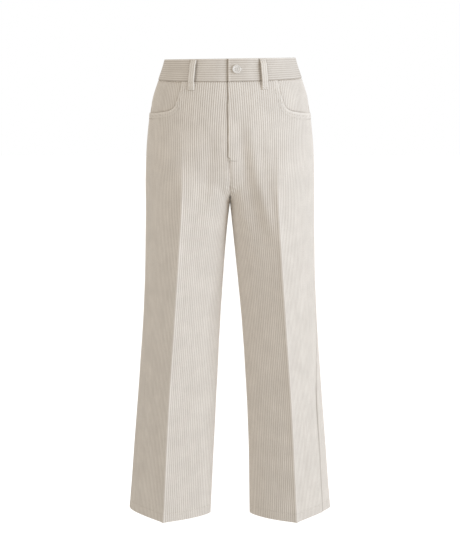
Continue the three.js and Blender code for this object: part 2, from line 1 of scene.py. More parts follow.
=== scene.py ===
"""Corduroy trousers, filled out as worn: ribbed cloth, sewing, button and studio round the packed frame.

Every shape is worked out in millimetres and becomes metres when its mesh is made.
The origin is the middle of the waist opening, +Z is up, the front faces -Y and the wearer's left is +X.
"""
import json
import math
from functools import cache

import bpy
import numpy as np
from bpy.props import FloatProperty, FloatVectorProperty, PointerProperty
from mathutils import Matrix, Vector


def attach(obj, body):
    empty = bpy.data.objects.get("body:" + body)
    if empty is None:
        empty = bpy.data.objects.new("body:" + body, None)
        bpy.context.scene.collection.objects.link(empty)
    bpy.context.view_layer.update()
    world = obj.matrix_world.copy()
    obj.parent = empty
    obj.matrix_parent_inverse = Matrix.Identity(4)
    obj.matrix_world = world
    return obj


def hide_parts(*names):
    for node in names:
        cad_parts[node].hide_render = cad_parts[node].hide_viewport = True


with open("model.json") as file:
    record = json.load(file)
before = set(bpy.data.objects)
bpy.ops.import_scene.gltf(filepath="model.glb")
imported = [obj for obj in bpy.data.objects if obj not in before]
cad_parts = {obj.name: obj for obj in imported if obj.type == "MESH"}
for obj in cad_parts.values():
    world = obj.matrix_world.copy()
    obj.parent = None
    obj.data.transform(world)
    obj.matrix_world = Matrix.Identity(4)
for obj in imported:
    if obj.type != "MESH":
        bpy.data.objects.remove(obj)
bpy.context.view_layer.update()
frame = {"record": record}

bl_info = {
    "name": "Corduroy Trousers",
    "version": (1, 0, 0),
    "blender": (4, 5, 0),
    "location": "View3D > Sidebar > Trousers",
    "description": "Ribbed cloth, sewing and button of high-waisted wide-leg corduroy trousers",
    "category": "Object",
}

MM = 0.001
RECORD_COLORS = {m["slot"]: m["base_color"] for m in frame["record"]["materials"]}


def table(names, *rows):
    """A table as one array for each of its named columns."""
    return dict(zip(names.split(), np.array(rows, float).T))


# Main sizes in millimetres
LENGTH = 965.0
BAND_HEIGHT = 45.0
CROTCH_Z = -288.0
CLOTH = 1.8
SEAM_GAP = 0.06
LAYER_GAP = 0.5
HEM_TURN = 20.0
HEM_THICK = 3.4

# Seat and hips. The marks are lengths from the centre seams to the crease lines. A square of 2 is an oval.
BODY = table(
    "z half_width front back side_y square front_mark back_mark",
    (0, 132.5, 90, 92, 0, 2.08, 86, 80),
    (-20, 138, 93, 97, 0.5, 2.08, 88, 83),
    (-45, 146, 96, 103, 1, 2.1, 91, 87),
    (-80, 157.5, 99, 111, 2, 2.12, 94, 93),
    (-125, 166, 101.5, 118, 4, 2.15, 97, 98),
    (-180, 172, 103.5, 122, 6, 2.15, 100, 101),
    (-250, 175, 104, 123, 7, 2.15, 102, 102),
)
LEGS_BEGIN = (-125, -255)
PAST_MIDDLE = {"steady": 0.45, "growing": 0.02}

# Each leg's inner seam and its outermost side
LEG = table(
    "z inner_left inner_right inner_y outer_x outer_y",
    (CROTCH_Z, 0, 0, -20, 175, 8),
    (-330, 4.4, 5.2, -20, 175.6, 8),
    (-375, 9, 9.4, -20, 176.8, 8),
    (-460, 17.6, 15.8, -20, 179.3, 7),
    (-547, 25.6, 21.3, -20, 184.2, 6),
    (-634, 31.6, 25.7, -21, 190.9, 5.5),
    (-723, 36.7, 30.2, -22, 198.1, 5),
    (-812, 40.2, 34.7, -23, 205.8, 5),
    (-903, 41.8, 39.2, -24, 213.4, 5),
    (-965, 42.6, 41.8, -25, 219.2, 5),
)

# The pressed creases
CREASES = table(
    "z front_x front_y back_x back_y",
    (-120, 94, -93, 95, 103),
    (-200, 95, -97, 97, 112),
    (-288, 97, -103, 99, 114),
    (-375, 102.5, -103, 102, 108),
    (-460, 108.5, -101, 107, 101),
    (-547, 115, -98.5, 113, 94),
    (-723, 127.8, -94.5, 125, 81),
    (-965, 141.3, -90, 138, 66),
)

# How straight the cloth leaves each crease, and how full it is round the inner thigh
FACETS = table(
    "z front_in out_left out_right back_out back_in thigh",
    (-120, 0.05, 0.2, 0.2, 0.1, 0, 0.78),
    (-200, 0.1, 0.25, 0.25, 0.12, 0, 0.78),
    (-288, 0.3, 0.5, 0.48, 0.2, 0.1, 0.76),
    (-380, 0.5, 0.62, 0.58, 0.36, 0.26, 0.52),
    (-500, 0.62, 0.74, 0.7, 0.54, 0.44, 0.36),
    (-634, 0.68, 0.84, 0.77, 0.66, 0.55, 0.3),
    (-812, 0.76, 0.95, 0.84, 0.72, 0.62, 0.27),
    (-965, 0.82, 1.06, 0.88, 0.76, 0.66, 0.25),
)

# How far along the cloth the side seam lies from the outermost line: minus is towards the front
SIDE_SEAM = table(
    "z left right",
    (0, 0, 0),
    (-450, -4, 0),
    (-560, -14, -2),
    (-650, -27, -4),
    (-720, -34, -5),
    (-850, -35, -7),
    (-965, -36, -8),
)

# Large folds: start and end as (length from the crease line, height z), width and depth. Minus lengths run to
# the centre on a front, plus lengths on a back, and a minus depth is a trough.
FOLDS = {
    "front_left": [
        ((-82, -122), (-64, -235), 14, -3.0),
        ((-72, -195), (-40, -360), 16, -3.8),
        ((-60, -125), (-42, -222), 11, 1.8),
        ((-48, -196), (-14, -352), 12, 3.0),
        ((-110, -290), (-66, -246), 8, -1.9),
    ],
    "front_right": [
        ((-62, -165), (-30, -340), 16, -2.2),
        ((-108, -290), (-68, -252), 8, -1.7),
    ],
    "back_left": [
        ((90, -300), (-20, -348), 17, -3.6),
        ((66, -338), (-8, -410), 18, -2.6),
        ((40, -560), (-35, -610), 24, -2.2),
    ],
    "back_right": [
        ((92, -304), (-10, -340), 17, -3.3),
        ((60, -350), (-18, -430), 19, -2.8),
        ((30, -590), (-45, -628), 24, -2),
    ],
}

# Softer and smaller troughs and ridges that lie between the large folds
SOFT_FOLDS = {
    "front_left": [
        ((52, -150), (74, -262), 17, -0.7),
        ((-98, -300), (-58, -330), 7, 0.8),
        ((-104, -318), (-66, -352), 7, -0.8),
        ((-30, -400), (-58, -520), 19, -0.9),
        ((38, -470), (62, -590), 18, -0.8),
        ((-70, -560), (-34, -690), 20, -0.8),
        ((24, -700), (58, -830), 16, 0.6),
        ((-62, -790), (-40, -930), 17, -0.8),
        ((84, -640), (92, -800), 13, -0.7),
    ],
    "front_right": [
        ((-84, -124), (-80, -220), 13, 0.6),
        ((-52, -140), (-60, -215), 12, -0.8),
        ((58, -160), (80, -280), 17, -0.7),
        ((-98, -306), (-56, -342), 8, -0.9),
        ((-34, -380), (-60, -500), 18, -0.9),
        ((44, -440), (66, -560), 17, -0.8),
        ((-64, -600), (-30, -720), 20, -0.7),
        ((34, -660), (70, -790), 18, -0.8),
        ((-60, -800), (-36, -935), 18, -0.8),
    ],
    "back_left": [
        ((70, -240), (94, -292), 12, -1.2),
        ((-62, -170), (-88, -300), 22, -0.9),
        ((50, -420), (10, -520), 20, -0.9),
        ((-60, -470), (-30, -560), 19, -1.0),
        ((62, -585), (8, -600), 13, -1.2),
        ((-70, -680), (-44, -820), 18, -0.8),
        ((56, -700), (34, -860), 20, -0.9),
    ],
    "back_right": [
        ((72, -236), (96, -290), 12, -1.1),
        ((-58, -180), (-84, -310), 22, -0.8),
        ((54, -430), (6, -530), 20, -1.0),
        ((-64, -480), (-34, -570), 19, -0.9),
        ((58, -560), (2, -578), 12, -1.1),
        ((-66, -690), (-40, -830), 18, -0.7),
        ((52, -720), (30, -880), 20, -0.8),
    ],
}

# How far each front's inner and outer facets bulge at the hem, growing from the knee
HEM_FULLNESS = {"left": (6.0, 3.0), "right": (4.0, 2.0)}
KNEE_Z = -640.0
CREASE_BEGINS = (-225, -330)

# Fly: the wearer's left front laps over the right one
FLY_OVERLAP = 3.5
FLY_UNDERLAP = 9.0
FLY_STEP = 1.2
FLY_RAMP = (3, 34)
OVERLAP_ENDS = (-191, -199)
UNDERLAP_ENDS = (-184, -192)
STEP_ENDS = (-196, -238)
OPEN_EDGE_BEGINS = {"left": (-201, -190), "right": (-194, -183)}
FLY_TACK_Z = -198.5
FLY_TACK_REACH = (-2, 9)
PUCKERS_BEGIN = (-198, -206)
PUCKERS_END = (-286, -262)

# Waistband
BAND_OUT = 1.2
BAND_IN = -2.0
BAND_UNDERLAP = 30.0
BAND_STEP = 1.85
WAIST_TILT = 0.0145
TILT_ENDS = 150.0
BAND_SIDE_LIFT = 3.5
LIFT_FULL_AT = 146.0
LIFT_ENDS = (60, 170)

# Pocket mouth seen from the front: points, with the bend between each and the next
POCKET_MOUTH = table("x z", (95.5, -45), (109, -92), (128, -104.5), (158, -109.5))
POCKET_BENDS = table("x z", (99.5, -68), (113.5, -101.5), (142, -107.5))
POCKET_FOOT = -110.0
POCKET_STITCHES = (2.2, 10.0)  # how far the two rows lie from the mouth
FACING_UNDER = 17.0
FACING_BESIDE = 9.0
FACING_RISE_PLACES = (1.45, 1.95)
FACING_RISE_HEIGHTS = (-107, -90)

# Belt loops: name, side and place round the waist, 0 at the centre front and 4 at the centre back
LOOP_WIDTH = 12.5
LOOP_THICK = 2.4
LOOP_STAND = 3.0
LOOP_TOP, LOOP_FOOT = -2.6, -62.0
LOOP_TACKS = (-5.2, -58.6)  # heights of the bar tacks that hold a loop
LOOPS = [
    ("belt_loop_front_left", 1, 0.755),
    ("belt_loop_front_right", -1, 0.845),
    ("belt_loop_back_left", 1, 2.62),
    ("belt_loop_back_right", -1, 2.62),
    ("belt_loop_centre_back", 1, 4),
]
LOOP_PATH = table(
    "z stand",
    (LOOP_TOP, 0), (-7, 0.15), (-12, 1), (-26, 1), (-42, 0.95), (-52, 0.55), (-57, 0), (LOOP_FOOT, 0),
)

BUTTON = {"from_middle": 12.8, "z": -21.4, "radius": 8.6, "thick": 3.2, "rim": 2.2, "dish": 1.1}
BUTTON_HOLES = {"radius": 0.85, "out": 1.7}
BUTTONHOLE = {"middle": 14.5, "half_length": 8.4, "half_height": 0.95, "reach": 1.0}

# The studio in metres
FLOOR_HALF_WIDE = 14.0
FLOOR_THICK = 0.02
LIGHTS = {
    "key": {"place": (2.9, -1.75, 0.3), "size": 1.9, "color": (0.8, 0.88, 1.0)},
    "fill": {"place": (-1.1, -0.9, 0.55), "size": 1.0, "color": (1.0, 0.93, 0.85)},
}

SIDES = {"left": 1, "right": -1}


def mix(a, b, t):
    """a where t is 0, b where it is 1, and in proportion between them."""
    return a + (b - a) * t


def ease(value, start, end):
    """0 at start, 1 at end and smooth between them: t * t * (3 - 2 * t)."""
    t = np.clip((value - start) / (end - start), 0, 1)
    return t * t * (3 - 2 * t)


def bell(distance, width):
    """A smooth hump of height 1: e to the minus square of distance over width."""
    return np.exp(-((distance / width) ** 2))


def at(rows, column, z):
    """A table's column at heights z: a cubic through the rows with central slopes, level past the ends."""
    depth, values = -rows["z"], rows[column]
    ahead = np.minimum(np.arange(len(depth)) + 1, len(depth) - 1)
    behind = np.maximum(np.arange(len(depth)) - 1, 0)
    slope = (values[ahead] - values[behind]) / (depth[ahead] - depth[behind])
    wanted = np.clip(-np.asarray(z, float), depth[0], depth[-1])
    i = np.clip(np.searchsorted(depth, wanted, "right") - 1, 0, len(depth) - 2)
    span = depth[i + 1] - depth[i]
    t = (wanted - depth[i]) / span
    return (
        (2 * t**3 - 3 * t**2 + 1) * values[i]
        + (t**3 - 2 * t**2 + t) * span * slope[i]
        + (3 * t**2 - 2 * t**3) * values[i + 1]
        + (t**3 - t**2) * span * slope[i + 1]
    )


# Outlines. Arrays have one row for each height and one column for each step along a run.
DEPTHS = 970
CURVE = np.linspace(0, 1, 241)[None, :]
STEPS = np.linspace(0, 1, 161)[None, :]
ROW_APART = 1e5
QUARTER = 0.5523  # the handle length that makes a cubic curve a quarter of a circle
LEAST_START = 0.43  # the shortest handle at a crease, as a share of the way to the side
STRAIGHT_EASES = 0.65  # how much a facet that leaves its crease straight shortens its other handle
NORMAL_DZ = 3.0
NORMAL_DF = 0.03


def lengths_of(x, y):
    """Lengths from the start of each row's polyline to each of its points."""
    steps = np.hypot(np.diff(x, axis=1), np.diff(y, axis=1))
    return np.concatenate([np.zeros((len(x), 1)), np.cumsum(steps, axis=1)], axis=1)


def row_interp(wanted, known, values):
    """Linear interpolation in every row at once: each row is moved far from the next, then all are one."""
    apart = np.arange(len(known))[:, None] * ROW_APART
    flat = np.interp((wanted + apart).ravel(), (known + apart).ravel(), values.ravel())
    return flat.reshape(wanted.shape)


def even_run(x, y, start, end):
    """The part of each row's polyline between two lengths, as evenly spaced points."""
    known = lengths_of(x, y)
    wanted = mix(start, end, STEPS)
    return row_interp(wanted, known, x), row_interp(wanted, known, y)


def whole_length(x, y):
    """The length of each row's polyline, as a column."""
    return lengths_of(x, y)[:, -1:]


def oval_quarter(half_width, centre_y, side_y, square):
    """A quarter of a squared oval: x is sine and y is cosine of the angle, each to the power 2 / square."""
    angle = CURVE * math.pi / 2
    x = half_width * np.sin(angle) ** (2 / square)
    y = side_y + (centre_y - side_y) * np.clip(np.cos(angle), 0, 1) ** (2 / square)
    return x, y


def facet(crease, end, straight, full):
    """A cubic curve from a crease to a seam or side, where it runs front to back."""
    across, along = end[0] - crease[0], end[1] - crease[1]
    start = np.maximum(full, LEAST_START)
    x = (crease[0], crease[0] + start * across, end[0], end[0])
    y = (crease[1], crease[1] + start * straight * along, end[1] - full * along, end[1])
    weights = ((1 - CURVE) ** 3, 3 * (1 - CURVE) ** 2 * CURVE, 3 * (1 - CURVE) * CURVE**2, CURVE**3)
    return sum(w * p for w, p in zip(weights, x)), sum(w * p for w, p in zip(weights, y))


def middle_crossing(x, y):
    """The length at which each row's curve crosses the middle, or its whole length."""
    known = lengths_of(x, y)
    over = np.argmax(x < 0, axis=1)
    rows = np.arange(len(x))
    before = np.maximum(over - 1, 0)
    a, b = x[rows, before], x[rows, over]
    share = a / np.where(a == b, 1, a - b)
    crossing = known[rows, before] + share * (known[rows, over] - known[rows, before])
    return np.where((x < 0).any(axis=1), crossing, known[:, -1])[:, None]


def body_runs(z):
    """The hips' half outline as four runs between the centres, the crease lines and the side."""
    size = [at(BODY, column, z) for column in ("half_width", "front", "back", "side_y", "square")]
    half_width, front, back, side_y, square = size
    front_curve = oval_quarter(half_width, -front, side_y, square)
    back_curve = oval_quarter(half_width, back, side_y, square)
    front_mark, back_mark = at(BODY, "front_mark", z), at(BODY, "back_mark", z)
    return (
        even_run(*front_curve, 0 * z, front_mark),
        even_run(*front_curve, front_mark, whole_length(*front_curve)),
        even_run(*back_curve, whole_length(*back_curve), back_mark),
        even_run(*back_curve, back_mark, 0 * z),
    )


def leg_runs(z, side_name):
    """A leg's outline as the same four runs, trimmed at the middle above the crotch."""
    above = np.maximum(z - CROTCH_Z, 0)
    past = PAST_MIDDLE["steady"] * above + PAST_MIDDLE["growing"] * above**2
    inner = (at(LEG, "inner_" + side_name, z) - past, at(LEG, "inner_y", z))
    outer_x = np.where(above > 0, at(BODY, "half_width", z), at(LEG, "outer_x", z))
    outer_y = np.where(above > 0, at(BODY, "side_y", z), at(LEG, "outer_y", z))
    outer = (outer_x, outer_y)
    crease = (at(CREASES, "front_x", z), at(CREASES, "front_y", z))
    back_crease = (at(CREASES, "back_x", z), at(CREASES, "back_y", z))
    thigh = at(FACETS, "thigh", z)
    front_out, back_out = at(FACETS, "out_" + side_name, z), at(FACETS, "back_out", z)
    curves = (
        facet(crease, inner, at(FACETS, "front_in", z), thigh),
        facet(crease, outer, front_out, QUARTER * (1 - STRAIGHT_EASES * front_out)),
        facet(back_crease, outer, back_out, QUARTER * (1 - STRAIGHT_EASES * back_out)),
        facet(back_crease, inner, at(FACETS, "back_in", z), thigh),
    )
    ends = [middle_crossing(x, y) for x, y in curves]
    start = 0 * z
    return (
        even_run(*curves[0], ends[0], start),
        even_run(*curves[1], start, ends[1]),
        even_run(*curves[2], ends[2], start),
        even_run(*curves[3], start, ends[3]),
    )


def mirrored(z, f):
    """Heights and places of one shape, which places are past a centre seam, and each place mirrored back."""
    z, f = np.broadcast_arrays(np.asarray(z, float), np.asarray(f, float))
    past = (f < 0) | (f > 4)
    return z, past, np.where(f < 0, -f, np.where(f > 4, 8 - f, f))


class Half:
    """One half of the trousers as a surface over a height z and a place f.

    f runs from 0 to 4 round the half: 0 is the centre front, or the inner seam below the crotch, 1 the front
    crease, 2 the outermost side, 3 the back crease, and 4 the centre back or the inner seam again.
    Points are worked out for side 1 and turned over to side -1 when they are placed.
    """

    def __init__(self, name):
        self.name = name
        self.side = SIDES[name]
        z = -np.arange(DEPTHS, dtype=float)[:, None]
        share = ease(z, *LEGS_BEGIN)
        runs = []
        for body, leg in zip(body_runs(z), leg_runs(z, name)):
            x, y = (mix(b, l, share) for b, l in zip(body, leg))
            runs.append((*even_run(x, y, 0 * z, whole_length(x, y)), whole_length(x, y)[:, 0]))
        self.x, self.y, self.length = (np.stack(part, axis=1) for part in zip(*runs))

    def _between(self, values, z):
        """The rows of values at heights z, in proportion between the two nearest rows."""
        depth = np.clip(-np.asarray(z, float), 0, DEPTHS - 1.001)
        i = depth.astype(int)
        share = depth - i
        share = share.reshape(share.shape + (1,) * (values.ndim - 1))
        return mix(values[i], values[i + 1], share)

    def run_lengths(self, z):
        """The lengths of the four runs at heights z, in a last axis."""
        return self._between(self.length, z)

    def ends_of_runs(self, z):
        """The lengths from the centre front to the end of each run."""
        return np.cumsum(self.run_lengths(z), axis=-1)

    def crease(self, z, panel):
        """The length from the centre front to the front or back crease line."""
        return self.ends_of_runs(z)[..., 0 if panel == "front" else 2]

    def seam(self, z):
        """The length from the centre front to the side seam."""
        return self.ends_of_runs(z)[..., 1] + at(SIDE_SEAM, self.name, z)

    def whole(self, z):
        """The length from the centre front to the centre back, or round the leg to the inner seam."""
        return self.ends_of_runs(z)[..., 3]

    def run_at(self, z, f):
        """The length of the run that the place f is on."""
        return self.run_lengths(z)[..., min(3, int(f))]

    def length_at(self, z, f):
        """The length from the centre front to the place f."""
        run = min(3, int(f))
        return self.ends_of_runs(z)[..., run] + (f - run - 1) * self.run_at(z, f)

    def place_of(self, z, length):
        """The place f at a length from the centre front, carried on past both ends."""
        runs, ends = self.run_lengths(z), self.ends_of_runs(z)
        r = sum((length >= ends[..., k]).astype(int) for k in range(3))
        run, end = (np.take_along_axis(values, r[..., None], axis=-1)[..., 0] for values in (runs, ends))
        return r + (length - (end - run)) / run

    def point(self, z, f):
        """The surface point at z and f, with x turned over where f is past a centre seam."""
        z, past, g = mirrored(z, f)
        r = np.clip(np.floor(g), 0, 3).astype(int)
        steps = STEPS.shape[1] - 1
        u = (g - r) * steps
        k = np.clip(np.floor(u), 0, steps - 1).astype(int)
        depth = np.clip(-z, 0, DEPTHS - 1.001)
        i = depth.astype(int)
        across, down = u - k, depth - i

        def value(grid):
            """The grid's value in proportion between its four nearest places."""
            upper = mix(grid[i, r, k], grid[i, r, k + 1], across)
            lower = mix(grid[i + 1, r, k], grid[i + 1, r, k + 1], across)
            return mix(upper, lower, down)

        x, y = value(self.x), value(self.y)
        return np.stack([np.where(past, -x, x), y, z], axis=-1)

    def normal(self, z, f):
        """The outward normal, from short steps up, down and to both sides that cross no seam."""
        z, past, g = mirrored(z, f)
        above = z > CROTCH_Z
        highest = np.where(above, 0, CROTCH_Z)
        lowest = np.where(above, CROTCH_Z + 0.01, -LENGTH - NORMAL_DZ)

        def kept(place):
            """A place held between the centre seams above the crotch, and carried round the leg below it."""
            return np.where(above, np.clip(place, 0, 4), (place + 4) % 4)

        up = self.point(np.minimum(highest, z + NORMAL_DZ), g)
        down = self.point(np.maximum(lowest, z - NORMAL_DZ), g)
        ahead, behind = self.point(z, kept(g + NORMAL_DF)), self.point(z, kept(g - NORMAL_DF))
        normal = np.cross(ahead - behind, up - down)
        normal /= np.linalg.norm(normal, axis=-1, keepdims=True)
        normal[..., 0] *= np.where(past, -1, 1)
        return normal

    def place(self, z, f, out, least=-LENGTH, drawn=0.0):
        """Surface points moved out along the normal, on this half's own side, settled on the waist.

        They come no nearer the middle than least, and drawn is the share by which they are drawn to it.
        """
        points = self.point(z, f) + np.asarray(out)[..., None] * self.normal(z, f)
        points[..., 0] = self.side * mix(np.maximum(points[..., 0], least), least, drawn)
        points[..., 2] = np.minimum(points[..., 2], 0)
        return settle(points)

    def facing(self, z, f):
        """Outward normals on this half's own side."""
        normal = self.normal(z, f)
        normal[..., 0] *= self.side
        return normal


def settle_by(x, z):
    """How far the skew of the waist and the dip of the waistband's lower edge raise a point."""
    tilt = WAIST_TILT * x * (1 - ease(-z, BAND_HEIGHT, TILT_ENDS))
    across = np.minimum(1, (x / LIFT_FULL_AT) ** 2)
    return tilt + BAND_SIDE_LIFT * across * ease(-z, 0, BAND_HEIGHT) * (1 - ease(-z, *LIFT_ENDS))


def settle(points):
    """The points raised by settle_by."""
    moved = points.copy()
    moved[..., 2] += settle_by(points[..., 0], points[..., 2])
    return moved


FOLD_SPAN = (0.12, 0.88)  # the part of a half sine that a fold's depth follows along its line


def fold_height(folds, s, z):
    """The sum of the folds: depth, times a bell of the distance from the line, times a sine along it."""
    height = np.zeros(np.broadcast(s, z).shape)
    for start, end, width, depth in folds:
        along = (end[0] - start[0], end[1] - start[1])
        squared = along[0] ** 2 + along[1] ** 2
        near = np.clip(((s - start[0]) * along[0] + (z - start[1]) * along[1]) / squared, 0, 1)
        distance = np.hypot(s - start[0] - near * along[0], z - start[1] - near * along[1])
        height += depth * np.sin(math.pi * mix(*FOLD_SPAN, near)) * bell(distance, width)
    return height


# Ribs. Grooves lie at whole numbers of ribs from a panel's crease line or the waistband's top edge.
RIB_STEPS = np.array([0, 0.2, 0.5, 0.8])
RIB_POWER = 0.85
RIB_MEAN = 0.67
EDGE_SNAP = 0.25


def ribs_between(lowest, highest, pitch):
    """Lengths at each rib's groove, shoulders and top, from below lowest to above highest."""
    numbers = np.arange(math.floor(lowest / pitch) - 1, math.ceil(highest / pitch) + 1)
    return ((numbers[:, None] + RIB_STEPS) * pitch).ravel()


def rib_height(length, pitch, depth):
    """A rib with a round top: depth times the sine's size to a power under 1, less its mean."""
    return depth * (np.abs(np.sin(math.pi * length / pitch)) ** RIB_POWER - RIB_MEAN)


def held_between(columns, low, high):
    """Every row's columns held between its two edges, and the column that stands for each one there."""
    first = np.searchsorted(columns, low + EDGE_SNAP, "right") - 1
    last = np.searchsorted(columns, high - EDGE_SNAP, "left")
    index = np.clip(np.arange(len(columns))[None, :], first[:, None], last[:, None])
    lengths = columns[index]
    lengths = np.where(index == first[:, None], low[:, None], lengths)
    lengths = np.where(index == last[:, None], high[:, None], lengths)
    return lengths, index


def spaced(*stretches):
    """Heights down through stretches that are each (start, end, about how far apart)."""
    parts = [np.linspace(a, b, max(2, round(abs(b - a) / apart) + 1))[:-1] for a, b, apart in stretches]
    return np.concatenate([*parts, [stretches[-1][1]]])


def round_edge(distance, radius):
    """How far a rounded edge falls away at a distance from it: radius less the circle's height."""
    inside = np.clip(radius - distance, 0, radius)
    return radius - np.sqrt(radius**2 - inside**2)


# Meshes
CLOTH_UV = "cloth"
# Name of the per-point attribute that paints shade and highlights into the cloth's colour
TONE_AND_PAINTED_LIGHT = "wear"
# The value on inside faces, which gives them a paler, plainer colour without the darker grooves
INSIDE_PALENESS = -0.85


def shell(outer, inner, index=None):
    """A closed wall between two grids of points.

    It has the outer faces, the inner ones turned round, and a rim along each edge that only one outer face
    has. Returns points, triangles, the grid place of each point and whether it is an inner one.
    """
    rows, columns = outer.shape[:2]
    index = np.broadcast_to(np.arange(columns), (rows, columns)) if index is None else index
    ids = np.arange(rows)[:, None] * columns + index
    a, b, c, d = ids[:-1, :-1], ids[1:, :-1], ids[1:, 1:], ids[:-1, 1:]
    faces = np.concatenate([np.stack([a, b, c], -1).reshape(-1, 3), np.stack([a, c, d], -1).reshape(-1, 3)])
    faces = faces[(faces != np.roll(faces, 1, axis=1)).all(axis=1)]
    edges = np.concatenate([faces[:, [0, 1]], faces[:, [1, 2]], faces[:, [2, 0]]])
    count = rows * columns
    keys = edges.min(1) * count + edges.max(1)
    _, back, uses = np.unique(keys, return_inverse=True, return_counts=True)
    rim = edges[uses[back] == 1]
    p, q = rim[:, 0], rim[:, 1]
    sides = np.concatenate([np.stack([q, p, p + count], -1), np.stack([q, p + count, q + count], -1)])
    faces = np.concatenate([faces, faces[:, ::-1] + count, sides])
    used, faces = np.unique(faces, return_inverse=True)
    points = np.concatenate([outer.reshape(-1, 3), inner.reshape(-1, 3)])[used]
    return points, faces.reshape(-1, 3), used % count, used >= count


def facing_out(points, faces):
    """The faces turned round where the volume that they close comes out negative."""
    a, b, c = (points[faces[:, k]] for k in range(3))
    return faces[:, ::-1] if np.einsum("ij,ij->i", a, np.cross(b, c)).sum() < 0 else faces


def add_mesh(name, points, faces, material, uv=None, wear=None, sharp_over=80, replaces=()):
    """A mesh object from points in millimetres that rides on the body and stands for its nodes."""
    faces = facing_out(points, faces)
    mesh = bpy.data.meshes.new(name)
    mesh.from_pydata(points * MM, [], faces)
    mesh.polygons.foreach_set("use_smooth", np.ones(len(faces), bool))
    mesh.set_sharp_from_angle(angle=math.radians(sharp_over))
    if uv is not None:
        layer = mesh.uv_layers.new(name=CLOTH_UV)
        layer.data.foreach_set("uv", uv[faces.ravel()].astype(np.float32).ravel())
    if wear is not None:
        layer = mesh.attributes.new(TONE_AND_PAINTED_LIGHT, "FLOAT", "POINT")
        layer.data.foreach_set("value", wear.astype(np.float32))
    mesh.materials.append(material)
    piece = bpy.data.objects.new(name, mesh)
    bpy.context.scene.collection.objects.link(piece)
    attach(piece, "root")
    if replaces:
        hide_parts(*replaces)
    return piece


def add_cloth(name, outer, inner, ribs, along, wear, index=None, shift=0):
    """A cloth wall whose UV map counts ribs across it, and the same unit along it.

    Its wear is 1 where the pile is pressed dark beside a seam, 2 in the deep fold at the crotch, and -1 where
    a folded edge is rubbed pale.
    """
    points, faces, grid, inside = shell(outer, inner, index)
    uv = np.stack([(ribs + shift).ravel()[grid], along.ravel()[grid]], -1)
    tone_and_painted_light_of_points = np.where(inside, INSIDE_PALENESS, np.broadcast_to(wear, ribs.shape).ravel()[grid])
    return add_mesh(name + "_cloth", points, faces, corduroy(), uv, tone_and_painted_light_of_points, replaces=[name])


# Panels
FADE = -165.0  # below it a front's rows are level again under the pocket mouth
TOP_Z = -BAND_HEIGHT - SEAM_GAP / 2
HEM_STITCH_Z = -LENGTH + 19
PANEL_ROWS = spaced(
    (TOP_Z, -48, 0.7),
    (-48, -132, 2.6),
    (-132, -188, 5),
    (-188, -203, 0.9),
    (-203, -250, 5),
    (-250, CROTCH_Z, 3),
    (CROTCH_Z, -420, 4.5),
    (-420, -930, 8),
    (-930, -941, 3),
    (-941, -950, 0.8),
    (-950, -962, 3),
    (-962, -LENGTH, 0.5),
)
RIB_SHIFT = {"front_left": 0, "front_right": 200, "back_left": 400, "back_right": 600}
SEAM_DEPTH, SEAM_WIDTH = 1.0, 1.3
ALLOWANCE_RAISE, ALLOWANCE_WIDE = 0.3, 11.0
EDGE_ROUND = CLOTH / 2 - 0.05
DART = {"length": 78.0, "lean": 0.06, "depth": 0.7}
BEND_STEPS = 39

# Heights between which each painted shade and painted highlight grows to its full strength
SIDE_SEAM_DARKENS = (KNEE_Z, -780)
CREASE_PALES = (-240, -330)
INNER_SEAM_DARKENS = (-335, -294)
FLY_DARKENS = (-202, -190)


def crease_ridge(panel, s, z):
    """The fine pressed edge along the crease line, which fades out above the thighs."""
    strength = ease(z, *CREASE_BEGINS) * (1 if panel.startswith("front") else 0.7)
    return strength * (0.5 * bell(s, 1.7) + 0.9 * bell(s, 7))


def fly_reach(half, z):
    """How far a front passes the centre: its lap, with a slight wave, down to the fly's end."""
    ends, lap = (OVERLAP_ENDS, FLY_OVERLAP) if half.side > 0 else (UNDERLAP_ENDS, FLY_UNDERLAP)
    lap = lap + 0.3 * np.sin(z / 9) + 0.25 * np.sin(z / 5.3)
    return mix(lap, -SEAM_GAP / 2, ease(z, *ends))


def fly_height(half, z, from_centre):
    """How far the lapped fronts step out and in beside the centre, as two smooth steps."""
    return half.side * FLY_STEP * (1 - ease(from_centre, *FLY_RAMP)) * (1 - ease(z, *STEP_ENDS))


def hem_fullness(half, s, z):
    """The bulge of a front's two facets: a half wave across each, which grows from the knee to the hem."""
    runs = half.run_lengths(z)
    inner, outer = HEM_FULLNESS[half.name]
    share = np.clip(np.where(s < 0, -s / runs[..., 0], s / runs[..., 1]), 0, 1)
    return np.where(s < 0, inner, outer) * np.sin(math.pi * share) * ease(z, KNEE_Z, -LENGTH)


def panel_base(half, kind, s, z):
    """How far a panel's cloth stands off the form before its ribs and seams: folds, crease and fly."""
    panel = f"{kind}_{half.name}"
    height = fold_height(FOLDS[panel], s, z) + fold_height(SOFT_FOLDS[panel], s, z)
    height = height + crease_ridge(panel, s, z)
    if kind == "front":
        length = np.maximum(0, s + half.crease(z, kind))
        below_fly = ease(z, *PUCKERS_BEGIN) * ease(z, *PUCKERS_END)
        height = height + fly_height(half, z, length) + hem_fullness(half, s, z)
        height = height + 0.7 * below_fly * np.sin(z * 0.62 + half.side * length * 0.3) * bell(length, 11)
    return height


def on_panel(half, kind, s, z, out=0.0):
    """Points and outward normals on a panel at lengths from its crease line and heights."""
    f = half.place_of(z, s + half.crease(z, kind))
    return half.place(z, f, panel_base(half, kind, s, z) + out), half.facing(z, f)


def bend(a, mid, b, t):
    """A quadratic curve from a to b that is pulled towards mid."""
    return (1 - t) ** 2 * a + 2 * (1 - t) * t * mid + t**2 * b


